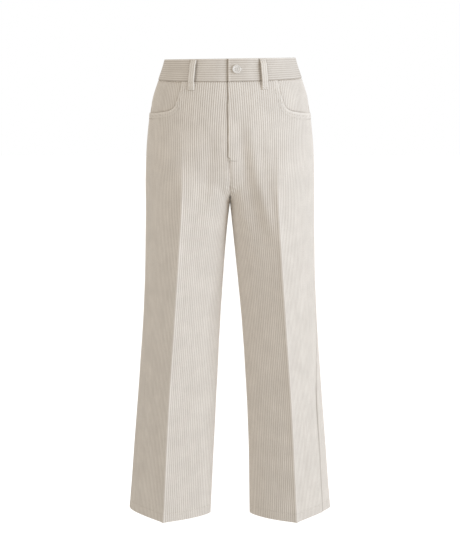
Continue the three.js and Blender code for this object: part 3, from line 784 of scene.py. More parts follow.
def pocket_mouth(half):
    """The pocket mouth as (length from the crease line, height): three bends, then level to the side seam."""
    bends = len(POCKET_BENDS["x"])
    t = np.linspace(0, bends, bends * BEND_STEPS + 1)
    i = np.minimum(t.astype(int), bends - 1)
    ends, mids = POCKET_MOUTH, POCKET_BENDS
    x, z = (bend(ends[key][i], mids[key][i], ends[key][i + 1], t - i) for key in ("x", "z"))
    z = z - settle_by(half.side * x, z)
    places = np.linspace(0.7, 2, 261)
    known = half.point(z[:, None], places[None, :])[..., 0]
    f = row_interp(x[:, None], known, np.broadcast_to(places, known.shape))[:, 0]
    runs = half.run_lengths(z)
    s = np.where(f < 1, (f - 1) * runs[:, 0], (f - 1) * runs[:, 1])
    end = half.seam(z[-1]) - half.crease(z[-1], "front")
    level = np.linspace(s[-1], end, 6)[1:]
    return np.concatenate([s, level]), np.concatenate([z, np.full(len(level), z[-1])])


def nearest(s, z, line_s, line_z):
    """The distance from each point of a grid to a line of close points."""
    gap = np.full(s.shape, np.inf)
    near = z > line_z.min() - 30
    gap[near] = np.hypot(s[near][:, None] - line_s, z[near][:, None] - line_z).min(axis=1)
    return gap


def finish_panel(half, kind, s, z, index, heights, inner_add, to_centre, wear, pitch):
    """Makes a panel's wall, whose outside is the form moved out by the base and the heights.

    Its inside is the form moved out by the base less the cloth's thickness, which grows at the hem.
    """
    panel = f"{kind}_{half.name}"
    f = half.place_of(z, s + half.crease(z, kind))
    base = panel_base(half, kind, s, z)
    least = np.where(fly_reach(half, z) < 0, SEAM_GAP / 2, -LENGTH) if kind == "front" else SEAM_GAP / 2
    thick = mix(CLOTH, HEM_THICK, ease(z, -LENGTH + HEM_TURN + 1, -LENGTH + HEM_TURN - 1.5))
    drawn = bell(to_centre, 1.5) * ease(z, CROTCH_Z - 1, CROTCH_Z + 0.5) * (least > 0)
    outer = half.place(z, f, base + heights, least, drawn)
    inner = half.place(z, f, base - thick + inner_add, least, drawn)
    return add_cloth(panel, outer, inner, s / pitch, z / pitch, wear, index, RIB_SHIFT[panel])


def hem_heights(s, z):
    """The hem: its stitched channel with small puckers, and how far its rounded fold falls away."""
    pucker = 0.16 * np.sin(s + 0.9 * np.sin(s / 9)) * bell(z - HEM_STITCH_Z, 4.5)
    return pucker - 0.4 * bell(z - HEM_STITCH_Z, 0.9), round_edge(z + LENGTH, HEM_THICK / 2 - 0.1)


def hem_wear(z):
    """Dark in the stitched channel and pale at the fold."""
    return 0.3 * bell(z - HEM_STITCH_Z, 0.9) - 0.3 * ease(z, -LENGTH + 2.5, -LENGTH + 0.5)


def fly_shadow(length):
    """How dark the under layer is beside the edge that laps over it."""
    return 1.1 * bell(length - FLY_OVERLAP - 0.8, 2)


def seam_heights(distance):
    """A sewn seam: the edge is drawn in, and the pressed allowance behind raises the cloth beside it."""
    raised = ease(distance, 1, 3.5) * (1 - ease(distance, ALLOWANCE_WIDE - 1.5, ALLOWANCE_WIDE + 1.5))
    return ALLOWANCE_RAISE * raised - SEAM_DEPTH * bell(distance, SEAM_WIDTH)


def mouth_heights(s, z, to_mouth):
    """The pocket mouth: a thicker, rounded edge with puckers, and a channel under each row of stitches."""
    heights = 0.45 * ease(to_mouth, 13, 11) + 0.6 * ease(to_mouth, 20, 0) - round_edge(to_mouth, 1.0)
    heights += 0.25 * np.sin(s * 1.1 + z * 0.9) * bell(to_mouth - 6, 5)
    return heights - 0.6 * sum(bell(to_mouth - away, 0.9) for away in POCKET_STITCHES)


def front_wear(half, s, z, to_centre, to_side, to_mouth):
    """A front's wear: each part is a bell or a smooth step of the distance from its line.

    It is dark beside the side seam, the pocket's stitches and the fly, darkest in the crotch, and pale on the
    crease and the folded edges.
    """
    length = s + half.crease(z, "front")
    past_stitches = to_mouth - POCKET_STITCHES[1]
    wear = hem_wear(z) + mix(0.6, 1.25, ease(z, *SIDE_SEAM_DARKENS)) * bell(to_side, 2.8)
    wear -= 0.4 * bell(s, 1.3) * ease(z, *CREASE_PALES)
    wear += mix(0.1, 0.7, ease(to_side, 60, 20)) * bell(past_stitches - 1.2, 1.3)
    wear -= 0.6 * bell(past_stitches + 1.6, 1.2) + 1.1 * ease(to_mouth, 4.8, 2.6)
    wear += 1.2 * bell(length, 3) * bell(z - CROTCH_Z - 9, 7)
    wear += 3.0 * bell(length, 3.2) * bell(z - CROTCH_Z - 5, 7)
    if half.side < 0:
        return wear + fly_shadow(length) * ease(z, *FLY_DARKENS)
    wear -= 0.8 * ease(z, *OPEN_EDGE_BEGINS["left"]) * ease(to_centre, 4.5, 1.5)
    wear += 0.7 * bell(z - FLY_TACK_Z + 1.4 + 0.12 * length, 1.7) * ease(length, 18, 9)
    return wear + 2.2 * bell(length, 3.5) * ease(z, *INNER_SEAM_DARKENS) * (z < CROTCH_Z)


def front_panel(half, cloth):
    """A front: rows are level heights, gathered under the pocket mouth, and columns follow the ribs."""
    pitch, depth = cloth.rib_pitch / MM, cloth.rib_depth / MM
    mouth_s, mouth_z = pocket_mouth(half)
    row_z = PANEL_ROWS
    share = (row_z - FADE) / (TOP_Z - FADE)
    under_mouth = np.where(row_z > FADE, FADE + share * (mouth_z[-1] - FADE), row_z)
    low = -fly_reach(half, row_z) - half.crease(row_z, "front")
    high = half.seam(under_mouth) - half.crease(under_mouth, "front") - SEAM_GAP / 2
    s, index = held_between(ribs_between(low.min(), high.max(), pitch), low, high)
    top = np.where(s <= mouth_s[0], TOP_Z, np.interp(s, mouth_s, mouth_z))
    z = np.where(row_z[:, None] > FADE, FADE + share[:, None] * (top - FADE), row_z[:, None])
    to_mouth = nearest(s, z, mouth_s, mouth_z)
    to_centre, to_side = s - low[:, None], high[:, None] - s
    open_edge = ease(z, *OPEN_EDGE_BEGINS[half.name])
    edge_fall = open_edge * round_edge(to_centre, EDGE_ROUND)
    hem, hem_fall = hem_heights(s, z)
    heights = rib_height(s, pitch, depth) + hem - hem_fall + seam_heights(to_side)
    heights += (1 - open_edge) * seam_heights(to_centre) - edge_fall
    heights += mouth_heights(s, z, to_mouth) - SEAM_DEPTH * bell(TOP_Z - z, SEAM_WIDTH)
    inner_add = hem_fall + edge_fall + round_edge(to_mouth, 0.7) - 0.5 * bell(to_side, 2)
    wear = front_wear(half, s, z, to_centre, to_side, to_mouth)
    return finish_panel(half, "front", s, z, index, heights, inner_add, to_centre, wear, pitch)


def back_panel(half, cloth):
    """A back: level rows and columns that follow the ribs, with a sewn dart below the waistband."""
    pitch, depth = cloth.rib_pitch / MM, cloth.rib_depth / MM
    row_z = PANEL_ROWS
    crease = half.crease(row_z, "back")
    low = half.seam(row_z) + SEAM_GAP / 2 - crease
    high = half.whole(row_z) - SEAM_GAP / 2 - crease
    s, index = held_between(ribs_between(low.min(), high.max(), pitch), low, high)
    z = np.broadcast_to(row_z[:, None], s.shape)
    to_side, to_centre = s - low[:, None], high[:, None] - s
    hem, hem_fall = hem_heights(s, z)
    heights = rib_height(s, pitch, depth) + hem - hem_fall
    heights += seam_heights(to_side) + seam_heights(to_centre)
    heights -= SEAM_DEPTH * bell(TOP_Z - z, SEAM_WIDTH)
    below_band = TOP_Z - z
    dart = 1 - ease(below_band, DART["length"] * 0.5, DART["length"])
    heights -= DART["depth"] * dart * bell(s + DART["lean"] * below_band, 1.4)
    inner_add = hem_fall - 0.5 * bell(to_side, 2) - 0.5 * bell(to_centre, 2)
    # Painted shade beside the side seam, stronger towards the hem, and beside the centre seam, with the hem's
    # painted shade and highlight
    wear = hem_wear(z) + mix(0.6, 1.1, ease(z, *SIDE_SEAM_DARKENS)) * bell(to_side, 2.6)
    wear += 0.65 * bell(to_centre, 1.4)
    return finish_panel(half, "back", s, z, index, heights, inner_add, to_centre, wear, pitch)


def pocket_facing(half, cloth):
    """The side piece behind the pocket mouth, which comes up level with the back beside it."""
    pitch, depth = cloth.rib_pitch / MM, cloth.rib_depth / MM
    row_z = spaced((TOP_Z, -48, 0.8), (-48, POCKET_FOOT - FACING_UNDER, 3))
    crease = half.crease(row_z, "front")
    low = np.full(len(row_z), -FACING_BESIDE)
    high = half.seam(row_z) - SEAM_GAP / 2 - crease
    s, index = held_between(ribs_between(low.min(), high.max(), pitch), low, high)
    z = np.broadcast_to(row_z[:, None], s.shape)
    f = half.place_of(z, s + crease[:, None])
    rise = ease(z, *FACING_RISE_HEIGHTS) * ease(f, *FACING_RISE_PLACES)
    level = -(CLOTH + LAYER_GAP) * (1 - rise)
    to_side = high[:, None] - s
    heights = rib_height(s, pitch, depth) + rise * seam_heights(to_side)
    heights -= SEAM_DEPTH * bell(TOP_Z - z, SEAM_WIDTH)
    outer = half.place(z, f, level + heights)
    inner = half.place(z, f, level - CLOTH)
    name = "pocket_facing_" + half.name
    shift = 800 if half.side > 0 else 900
    # Painted shadow on the facing just beside the pocket mouth, weaker near the side seam
    in_shade = mix(0.85, 0.4, ease(to_side, 60, 20))
    wear = in_shade * ease(nearest(s, z, *pocket_mouth(half)), 5, 0.5)
    return add_cloth(name, outer, inner, s / pitch, z / pitch, wear, index, shift)


# Waistband
BAND_COLUMN_APART = 2.8
BAND_TOP_ROUND = 1.5


def band_height(half, length):
    """How far the band stands out: its own step, and the lap of its front end over or under the other."""
    start = BAND_UNDERLAP if half.side > 0 else FLY_OVERLAP
    return BAND_OUT + half.side * BAND_STEP * (1 - ease(length, start + 1, start + 20))


def on_band(half, length, z, out=0.0):
    """Points and outward normals on the waistband at lengths from the centre front and heights."""
    f = half.place_of(z, length)
    return half.place(z, f, band_height(half, length) + out), half.facing(z, f)


def waistband(half, cloth):
    """Half of the waistband: ribs run round it, its top edge is a rounded fold and its end is turned in."""
    pitch, depth = cloth.rib_pitch / MM, cloth.rib_depth / MM
    foot = -BAND_HEIGHT + SEAM_GAP / 2
    ribs = -ribs_between(0, BAND_HEIGHT, pitch)
    ribs = ribs[(ribs < -BAND_TOP_ROUND - 0.2) & (ribs > foot + 0.3)]
    row_z = np.concatenate([[0, -0.12, -0.45, -0.95, -BAND_TOP_ROUND], ribs, [foot + 0.15, foot]])[:, None]
    reach = FLY_OVERLAP if half.side > 0 else BAND_UNDERLAP
    count = round((half.whole(-20) + reach) / BAND_COLUMN_APART)
    share = np.concatenate([[0, 0.0006, 0.0016, 0.003], np.linspace(0.005, 1, count)])[None, :]
    length = mix(-reach, half.whole(row_z) - SEAM_GAP / 2, share)
    z = np.broadcast_to(row_z, length.shape)
    from_end, to_back = length + reach, half.whole(row_z) - SEAM_GAP / 2 - length
    wave = 0.18 * np.sin(length / 13 + 1.3 * np.sin(length / 41)) * bell(z + 24, 16)
    edge = round_edge(-z, BAND_TOP_ROUND) + round_edge(from_end, 1.5)
    heights = 0.45 * rib_height(z, pitch, depth) * ease(-z, 0.5, 3) + wave - edge
    heights -= 0.7 * bell(z - foot, 1.1) + 0.9 * bell(to_back, 1.2)
    outer = on_band(half, length, z, heights)[0]
    inner = on_band(half, length, z, BAND_IN - BAND_OUT + edge)[0]
    name = "waistband_" + half.name
    shift = 1000 if half.side > 0 else 1100
    # Painted light on the band: an even painted shade over all of it, more along its lower seam, a painted
    # highlight on the folded top edge, and on the wearer's left a painted highlight on the lapping end, on
    # the right the painted shadow under it
    wear = 0.32 + 0.5 * bell(z - foot, 1.5) - 0.6 * ease(-z, 2.5, 0.5)
    wear = wear + (-0.8 * ease(from_end, 4.5, 1.5) if half.side > 0 else fly_shadow(length))
    # Painted shadows on the band beside each belt loop, darker on the side towards the centre front
    for _, side, around in LOOPS:
        if side == half.side or around == 4:
            past = length - half.length_at(z, around)
            wear = wear + 0.9 * bell(past + LOOP_WIDTH / 2 + 1, 1.6)
            wear = wear + 0.6 * bell(past - LOOP_WIDTH / 2 - 1, 1.3)
    return add_cloth(name, outer, inner, z / pitch, length / pitch, wear, shift=shift)


# Belt loops
LOOP_RIB_SHARE = 0.94  # the ribs of a folded strip stand a little closer
# How much paler the belt loops are: their grooves' darker colour is partly lifted towards the plain pile
# colour
LOOP_PALENESS = -0.45


def belt_loop(name, half, around, cloth):
    """A folded strip: its section has rounded edges and upright ribs, and its path follows the table."""
    pitch, depth = cloth.rib_pitch / MM * LOOP_RIB_SHARE, cloth.rib_depth / MM
    z = spaced((LOOP_TOP, -14, 0.9), (-14, -44, 2.2), (-44, LOOP_FOOT, 0.9))[:, None]
    across = np.concatenate([[-1, -0.97, -0.9], np.linspace(-0.8, 0.8, 17), [0.9, 0.97, 1]])[None, :]
    f = around + across * LOOP_WIDTH / 2 / half.run_at(z, around)
    stand = at(LOOP_PATH, "stand", z)
    ground = BAND_OUT * (1 - ease(z, -BAND_HEIGHT - 1.5, -BAND_HEIGHT - 4.5))
    low = ground + LAYER_GAP + stand * LOOP_STAND
    from_side = (1 - np.abs(across)) * LOOP_WIDTH / 2
    edge = round_edge(from_side, 1.1)
    ends = round_edge(np.minimum(LOOP_TOP - z, z - LOOP_FOOT), 1.0)
    ribs = (across + 1) * LOOP_WIDTH / 2 / pitch + 0.1
    pressed = sum(0.5 * bell(z - row, 1.6) for row in LOOP_TACKS)
    raised = 0.3 * (1 - across**2)
    heights = LOOP_THICK - edge - ends + rib_height(ribs * pitch, pitch, depth * 0.8) + raised - pressed
    wide = np.broadcast_to(z, f.shape)
    outer = half.place(wide, f, low + heights)
    inner = half.place(wide, f, np.broadcast_to(low + 0.6 * edge, f.shape))
    shift = 1200 + 10 * [row[0] for row in LOOPS].index(name)
    ribs, along = np.broadcast_arrays(ribs, z / pitch)
    return add_cloth(name, outer, inner, ribs, along, LOOP_PALENESS, shift=shift)


# Sewing. Each stitch is a short thread with pointed ends that dives into the cloth at both.
THREAD_ALONG = np.array([-1, -0.55, 0, 0.55, 1])
THREAD_THICK = np.array([0.35, 0.85, 1, 0.85, 0.35])
THREAD_SIDES = 6
ROW_POINTS = 300
ROW_ENDS = 1.2
TACK_HALF_WIDTH = 0.9
LOOP_TACK_THREADS = 22
FLY_TACK_THREADS = 24


def threads(starts, ends, normals, radius, rise):
    """Points and faces of many threads: a ring carried from each start to each end over a low arch."""
    middle, half_way = (starts + ends) / 2, (ends - starts) / 2
    along = half_way / np.linalg.norm(half_way, axis=1, keepdims=True)
    side = np.cross(along, normals)
    side /= np.linalg.norm(side, axis=1, keepdims=True)
    up = np.cross(side, along)
    angle = np.arange(THREAD_SIDES) * 2 * math.pi / THREAD_SIDES
    lift = rise * (1 - 1.6 * THREAD_ALONG**2)
    line = middle[:, None] + half_way[:, None] * THREAD_ALONG[:, None] + up[:, None] * lift[:, None]
    ring = side[:, None] * np.cos(angle)[:, None] + up[:, None] * np.sin(angle)[:, None]
    points = line[:, :, None] + radius * THREAD_THICK[:, None, None] * ring[:, None]
    rings, sides = len(THREAD_ALONG), THREAD_SIDES
    a = (np.arange(rings - 1)[:, None] * sides + np.arange(sides)).ravel()
    b = (np.arange(rings - 1)[:, None] * sides + (np.arange(sides) + 1) % sides).ravel()
    walls = np.concatenate([np.stack([a, b, b + sides], -1), np.stack([a, b + sides, a + sides], -1)])
    k = np.arange(1, sides - 1)
    first = np.stack([0 * k, k + 1, k], -1)
    last = (rings - 1) * sides + first[:, ::-1]
    one = np.concatenate([walls, first, last])
    faces = one[None] + (np.arange(len(starts)) * rings * sides)[:, None, None]
    return points.reshape(-1, 3), faces.reshape(-1, 3)


def along_line(wanted, known, values):
    """Points or normals at wanted places along a line, in proportion between the known ones."""
    return np.stack([np.interp(wanted, known, values[:, k]) for k in range(3)], -1)


def stitched_line(points, normals, sewing):
    """Starts, ends and normals of even stitches along a line of close points."""
    length, gap = sewing.stitch_length / MM, sewing.stitch_gap / MM
    run = np.concatenate([[0], np.cumsum(np.linalg.norm(np.diff(points, axis=0), axis=1))])
    count = max(1, round(run[-1] / (length + gap)))
    step = run[-1] / count
    begin = np.arange(count) * step + gap / 2
    places = (begin, begin + step - gap)
    return (*(along_line(place, run, points) for place in places), along_line(sum(places) / 2, run, normals))


def bar_tack(points, normals, count, lean):
    """Close parallel threads along a short line, each laid across it and leaning along it by a share."""
    share = np.linspace(0, 1, count)
    run = np.linspace(0, 1, len(points))
    centre, normal = along_line(share, run, points), along_line(share, run, normals)
    line = points[-1] - points[0]
    line /= np.linalg.norm(line)
    across = (np.cross(normal, line) + line * lean) * TACK_HALF_WIDTH
    return centre - across, centre + across, normal


def hem_rows(half, sewing):
    """One row of stitches round each leg, on the front and on the back."""
    seam = half.seam(HEM_STITCH_Z)
    rows = []
    for kind, low, high in (("front", 0.0, seam), ("back", seam, half.whole(HEM_STITCH_Z))):
        edge = half.crease(HEM_STITCH_Z, kind)
        s = np.linspace(low - edge + ROW_ENDS, high - edge - ROW_ENDS, ROW_POINTS)
        points, normals = on_panel(half, kind, s, np.full(ROW_POINTS, HEM_STITCH_Z), -0.1)
        rows.append(stitched_line(points, normals, sewing))
    return rows


def pocket_rows(half, sewing):
    """Two rows of stitches that follow the pocket mouth, each at its own distance below it."""
    mouth_s, mouth_z = pocket_mouth(half)
    ahead = np.stack([np.gradient(mouth_s), np.gradient(mouth_z)], -1)
    ahead /= np.linalg.norm(ahead, axis=1, keepdims=True)
    rows = []
    for away in POCKET_STITCHES:
        s, z = mouth_s + away * ahead[:, 1], mouth_z - away * ahead[:, 0]
        kept = (z < TOP_Z - 1) & (s < half.seam(z) - half.crease(z, "front") - 1.5)
        rows.append(stitched_line(*on_panel(half, "front", s[kept], z[kept], 0.3), sewing))
    return rows


def tack_rows(half):
    """Bar tacks: at both ends of each belt loop, and at the fly's end on the wearer's left."""
    rows = []
    share = np.linspace(-0.8, 0.8, 7)
    for name, side, around in LOOPS:
        if side != half.side:
            continue
        for z in LOOP_TACKS:
            row_z = np.full(len(share), z)
            f = around + share * LOOP_WIDTH / 2 / half.run_at(row_z, around)
            ground = BAND_OUT if z > -BAND_HEIGHT else 0
            points = half.place(row_z, f, ground + LAYER_GAP + LOOP_THICK + np.zeros(len(share)))
            rows.append(bar_tack(points, half.facing(row_z, f), LOOP_TACK_THREADS, 0.25))
    if half.side > 0:
        s = np.linspace(*FLY_TACK_REACH, 8) - half.crease(FLY_TACK_Z, "front")
        points, normals = on_panel(half, "front", s, np.linspace(FLY_TACK_Z, FLY_TACK_Z - 1, 8), 0.35)
        rows.append(bar_tack(points, normals, FLY_TACK_THREADS, 0.2))
    return rows


def buttonhole_row(half):
    """Close threads round a long oval that runs from the button's middle away from the centre front."""
    turn = np.linspace(0, 2 * math.pi, 73)[:-1]
    length = BUTTONHOLE["middle"] + BUTTONHOLE["half_length"] * np.cos(turn)
    z = BUTTON["z"] + BUTTONHOLE["half_height"] * np.sign(np.sin(turn)) * np.abs(np.sin(turn)) ** 0.6
    centre, normal = on_band(half, length, z, 0.15)
    ahead = np.roll(centre, -1, axis=0) - np.roll(centre, 1, axis=0)
    across = np.cross(normal, ahead)
    across *= BUTTONHOLE["reach"] / np.linalg.norm(across, axis=1, keepdims=True)
    return centre - across, centre + across, normal


def add_stitching(name, rows, sewing, thickness=1.0, rise=None):
    """One piece from rows of threads, with their thickness as a share of the sewing thread's."""
    starts, ends, normals = (np.concatenate([row[k] for row in rows]) for k in range(3))
    radius = sewing.thread_width / MM / 2 * thickness
    points, faces = threads(starts, ends, normals, radius, radius * 0.9 if rise is None else rise)
    return add_mesh(name, points, faces, thread())


# Button
def button_points():
    """The button as a profile turned round its axis: a dished middle, a raised round rim and a flat back.

    Four holes are sunk into the dish, each deeper the nearer a point is to its middle.
    Returns a grid of points with the axis along the last coordinate.
    """
    radius, thick = BUTTON["radius"], BUTTON["thick"]
    dish_edge, crown = radius - BUTTON["rim"] - 0.9, radius - BUTTON["rim"] / 2 - 0.1
    r_top = np.concatenate([np.linspace(0.01, dish_edge, 46), np.linspace(dish_edge, radius - 0.25, 18)[1:]])
    rise = ease(r_top, dish_edge, crown - 0.3) - 0.42 * ease(r_top, crown + 0.2, radius)
    hollow = 0.12 * (r_top / dish_edge) ** 2 * (r_top < dish_edge)
    top = thick - BUTTON["dish"] + BUTTON["dish"] * rise + hollow
    side_r = np.array([radius, radius, radius - 0.35, radius - 1.2, 0.01])
    side_z = np.array([thick - 1.3, 1.0, 0.35, 0, 0])
    r = np.concatenate([r_top, side_r])[:, None]
    height = np.concatenate([top, side_z])[:, None]
    angle = np.linspace(0, 2 * math.pi, 97)[None, :-1]
    x, y = r * np.cos(angle), r * np.sin(angle)
    out = BUTTON_HOLES["out"]
    to_hole = np.hypot(np.abs(x) - out, np.abs(y) - out)
    on_top = (np.arange(len(r)) < len(r_top))[:, None]
    sunk = 1.5 * (1 - ease(to_hole, BUTTON_HOLES["radius"] - 0.18, BUTTON_HOLES["radius"] + 0.1)) * on_top
    return np.stack([x, y, np.broadcast_to(height, x.shape) - sunk], -1)


def turned_mesh(grid):
    """Points and faces of a closed turned form whose first and last rings shut at the axis."""
    rows, columns = grid.shape[:2]
    ids = np.arange(rows)[:, None] * columns + np.arange(columns)
    ahead = np.roll(ids, -1, axis=1)
    a, b, c, d = ids[:-1], ids[1:], ahead[1:], ahead[:-1]
    faces = [np.stack([a, b, c], -1).reshape(-1, 3), np.stack([a, c, d], -1).reshape(-1, 3)]
    poles = np.stack([grid[0].mean(0), grid[-1].mean(0)])
    first, last = rows * columns, rows * columns + 1
    faces.append(np.stack([np.full(columns, first), ids[0], ahead[0]], -1))
    faces.append(np.stack([np.full(columns, last), ahead[-1], ids[-1]], -1))
    return np.concatenate([grid.reshape(-1, 3), poles]), np.concatenate(faces)


def button_seat(half):
    """The button's middle on the band, and its three axes: across, up and out."""
    z = np.array([BUTTON["z"]])
    place = half.place_of(z, np.array([BUTTON["from_middle"]]))
    centre = half.place(z, place, np.array([BAND_OUT + BAND_STEP + LAYER_GAP]))[0]
    out = half.facing(z, place)[0]
    across = np.cross((0, 0, 1), out) * -1
    across /= np.linalg.norm(across)
    return centre, np.stack([across, np.cross(out, across), out])


# Materials
class Nodes:
    """A short way of adding linked shader nodes to a new material."""

    def __init__(self, name):
        self.material = bpy.data.materials.new(name)
        self.material.use_nodes = True
        self.tree = self.material.node_tree
        self.shader = self.tree.nodes["Principled BSDF"]

    def add(self, kind, settings=None, **inputs):
        node = self.tree.nodes.new(kind)
        for key, value in (settings or {}).items():
            setattr(node, key, value)
        for key, value in inputs.items():
            socket = node.inputs[int(key[1:])] if key[0] == "i" and key[1:].isdigit() else node.inputs[key]
            self.join(value, socket)
        return node

    def join(self, value, socket):
        """Links a socket's value, or sets a plain number or colour."""
        if isinstance(value, bpy.types.NodeSocket):
            self.tree.links.new(value, socket)
        else:
            socket.default_value = value

    def math(self, operation, a, b=0.0):
        return self.add("ShaderNodeMath", {"operation": operation}, i0=a, i1=b).outputs[0]

    def ramp(self, value, low, high, to_low, to_high):
        """The value carried from one span to another over a smooth step."""
        settings = {"interpolation_type": "SMOOTHSTEP"}
        node = self.add("ShaderNodeMapRange", settings)
        for socket, number in zip(node.inputs[:5], (value, low, high, to_low, to_high)):
            self.join(number, socket)
        return node.outputs[0]

    def noise(self, vector, scale, detail=3.0, roughness=0.5):
        node = self.add("ShaderNodeTexNoise", Vector=vector, Scale=scale, Detail=detail)
        node.inputs["Roughness"].default_value = roughness
        return node.outputs["Fac"]

    def blend(self, factor, a, b):
        node = self.add("ShaderNodeMix", {"data_type": "RGBA"})
        for socket, value in zip((node.inputs[0], node.inputs[6], node.inputs[7]), (factor, a, b)):
            self.join(value, socket)
        return node.outputs[2]


def shared(make):
    """Makes a material the first time that it is asked for, and gives the same one after that."""
    name = "trousers_" + make.__name__

    def get():
        return bpy.data.materials.get(name) or make(Nodes(name))

    get.__doc__ = make.__doc__
    return get


def rgba(color, value=1.0):
    """The colour times a value, with full opacity."""
    return (*(min(1.0, c * value) for c in color), 1.0)


@shared
def corduroy(n):
    """Ribbed cotton pile: pale ribs with darker grooves, uneven nap, short fibres and a faint sheen."""
    cloth = bpy.context.scene.trousers_cloth
    uv = n.add("ShaderNodeUVMap", {"uv_map": CLOTH_UV}).outputs[0]
    parts = n.add("ShaderNodeSeparateXYZ", Vector=uv)
    across, along = parts.outputs[0], parts.outputs[1]
    place = n.add("ShaderNodeTexCoord").outputs["Object"]
    # The grooves' darker colour is partly the ground weave's own tone and partly painted shade in the
    # recesses between the ribs
    rib = n.math("ABSOLUTE", n.math("SINE", n.math("MULTIPLY", across, math.pi)))
    groove = n.ramp(rib, 0.05, 0.92, 1.0, 0.0)
    number = n.math("FLOOR", across)
    rib_tone = n.add("ShaderNodeCombineXYZ", X=number, Y=n.math("MULTIPLY", along, 0.035))
    streak = n.noise(rib_tone.outputs[0], 1.7, 2.0)
    cloud = n.noise(place, 26.0, 5.0, 0.62)
    stretched = n.add("ShaderNodeCombineXYZ", X=n.math("MULTIPLY", across, 2.6), Y=along)
    tuft = n.noise(stretched.outputs[0], 2.3, 4.0, 0.65)
    darker, paler = rgba(cloth.pile_color, 0.94), rgba(cloth.pile_color, 1.03)
    pile = n.blend(n.ramp(cloud, 0.32, 0.7, 0.0, 1.0), darker, paler)
    pile = n.blend(n.ramp(streak, 0.3, 0.72, 0.0, 0.14), pile, rgba(cloth.groove_color))
    pile = n.blend(n.ramp(tuft, 0.45, 0.85, 0.0, 0.18), pile, rgba(cloth.groove_color))
    depth = n.math("MULTIPLY", groove, n.ramp(tuft, 0.25, 0.7, 0.42, 0.92))
    color = n.blend(depth, pile, rgba(cloth.groove_color))
    # Painted light from the per-point attribute: painted shade towards a darker groove colour at 1 and,
    # deepest, in the crotch fold at 2, and a painted highlight towards the plain pile colour below 0, which
    # also gives inside faces their paler colour
    wear = n.add("ShaderNodeAttribute", {"attribute_name": TONE_AND_PAINTED_LIGHT}).outputs["Fac"]
    color = n.blend(n.ramp(wear, 0.0, 1.0, 0.0, 0.75), color, rgba(cloth.groove_color, 0.8))
    color = n.blend(n.ramp(wear, 0.0, -1.0, 0.0, 0.8), color, rgba(cloth.pile_color))
    color = n.blend(n.ramp(wear, 1.0, 2.2, 0.0, 0.9), color, rgba(cloth.groove_color, 0.15))
    n.join(color, n.shader.inputs["Base Color"])
    fibres = n.noise(place, 2600.0, 2.0, 0.6)
    height = n.math("ADD", n.math("MULTIPLY", tuft, 0.6), n.math("MULTIPLY", fibres, 0.4))
    bump = n.add("ShaderNodeBump", Height=height, Strength=0.35, Distance=0.00035)
    n.join(bump.outputs[0], n.shader.inputs["Normal"])
    n.shader.inputs["Roughness"].default_value = 0.92
    n.shader.inputs["Specular IOR Level"].default_value = 0.2
    n.shader.inputs["Sheen Weight"].default_value = cloth.sheen
    n.shader.inputs["Sheen Roughness"].default_value = 0.5
    n.shader.inputs["Sheen Tint"].default_value = (1.0, 0.98, 0.95, 1.0)
    return n.material


@shared
def thread(n):
    """Spun sewing thread in the cloth's colour, with a slight twist in its light and dark."""
    sewing = bpy.context.scene.trousers_sewing
    place = n.add("ShaderNodeTexCoord").outputs["Object"]
    twist = n.noise(place, 1800.0, 2.0, 0.6)
    wear = n.noise(place, 60.0, 3.0)
    pale, dark = rgba(sewing.thread_color), rgba(sewing.thread_color, 0.8)
    color = n.blend(n.ramp(twist, 0.35, 0.7, 0.0, 0.6), pale, dark)
    color = n.blend(n.ramp(wear, 0.4, 0.7, 0.0, 0.35), color, rgba(sewing.thread_color, 0.9))
    n.join(color, n.shader.inputs["Base Color"])
    bump = n.add("ShaderNodeBump", Height=twist, Strength=0.4, Distance=0.00015)
    n.join(bump.outputs[0], n.shader.inputs["Normal"])
    n.shader.inputs["Roughness"].default_value = 0.7
    n.shader.inputs["Sheen Weight"].default_value = 0.15
    return n.material


@shared
def button_shell(n):
    """Pale moulded button: milky, faintly clouded, glossy, and darker where dirt gathers in its holes."""
    button = bpy.context.scene.trousers_button
    place = n.add("ShaderNodeTexCoord").outputs["Object"]
    cloud = n.noise(place, 190.0, 4.0, 0.6)
    fine = n.noise(place, 900.0, 2.0)
    color = n.blend(n.ramp(cloud, 0.35, 0.68, 0.0, 1.0), rgba(button.color), rgba(button.color, 0.9))
    n.join(color, n.shader.inputs["Base Color"])
    n.join(n.ramp(fine, 0.3, 0.7, 0.2, 0.34), n.shader.inputs["Roughness"])
    bump = n.add("ShaderNodeBump", Height=fine, Strength=0.08, Distance=0.0002)
    n.join(bump.outputs[0], n.shader.inputs["Normal"])
    n.shader.inputs["Coat Weight"].default_value = 0.25
    n.shader.inputs["Coat Roughness"].default_value = 0.12
    return n.material


@shared
def studio_floor(n):
    """A plain pale studio floor with the faintest unevenness."""
    stage = bpy.context.scene.trousers_stage
    place = n.add("ShaderNodeTexCoord").outputs["Object"]
    cloud = n.noise(place, 1.5, 2.0)
    color = n.blend(n.ramp(cloud, 0.3, 0.7, 0.0, 1.0), (0.93, 0.93, 0.93, 1), (0.95, 0.95, 0.95, 1))
    n.join(color, n.shader.inputs["Base Color"])
    n.shader.inputs["Roughness"].default_value = 0.9
    n.shader.inputs["Emission Color"].default_value = (1, 1, 1, 1)
    n.shader.inputs["Emission Strength"].default_value = stage.floor_glow
    return n.material


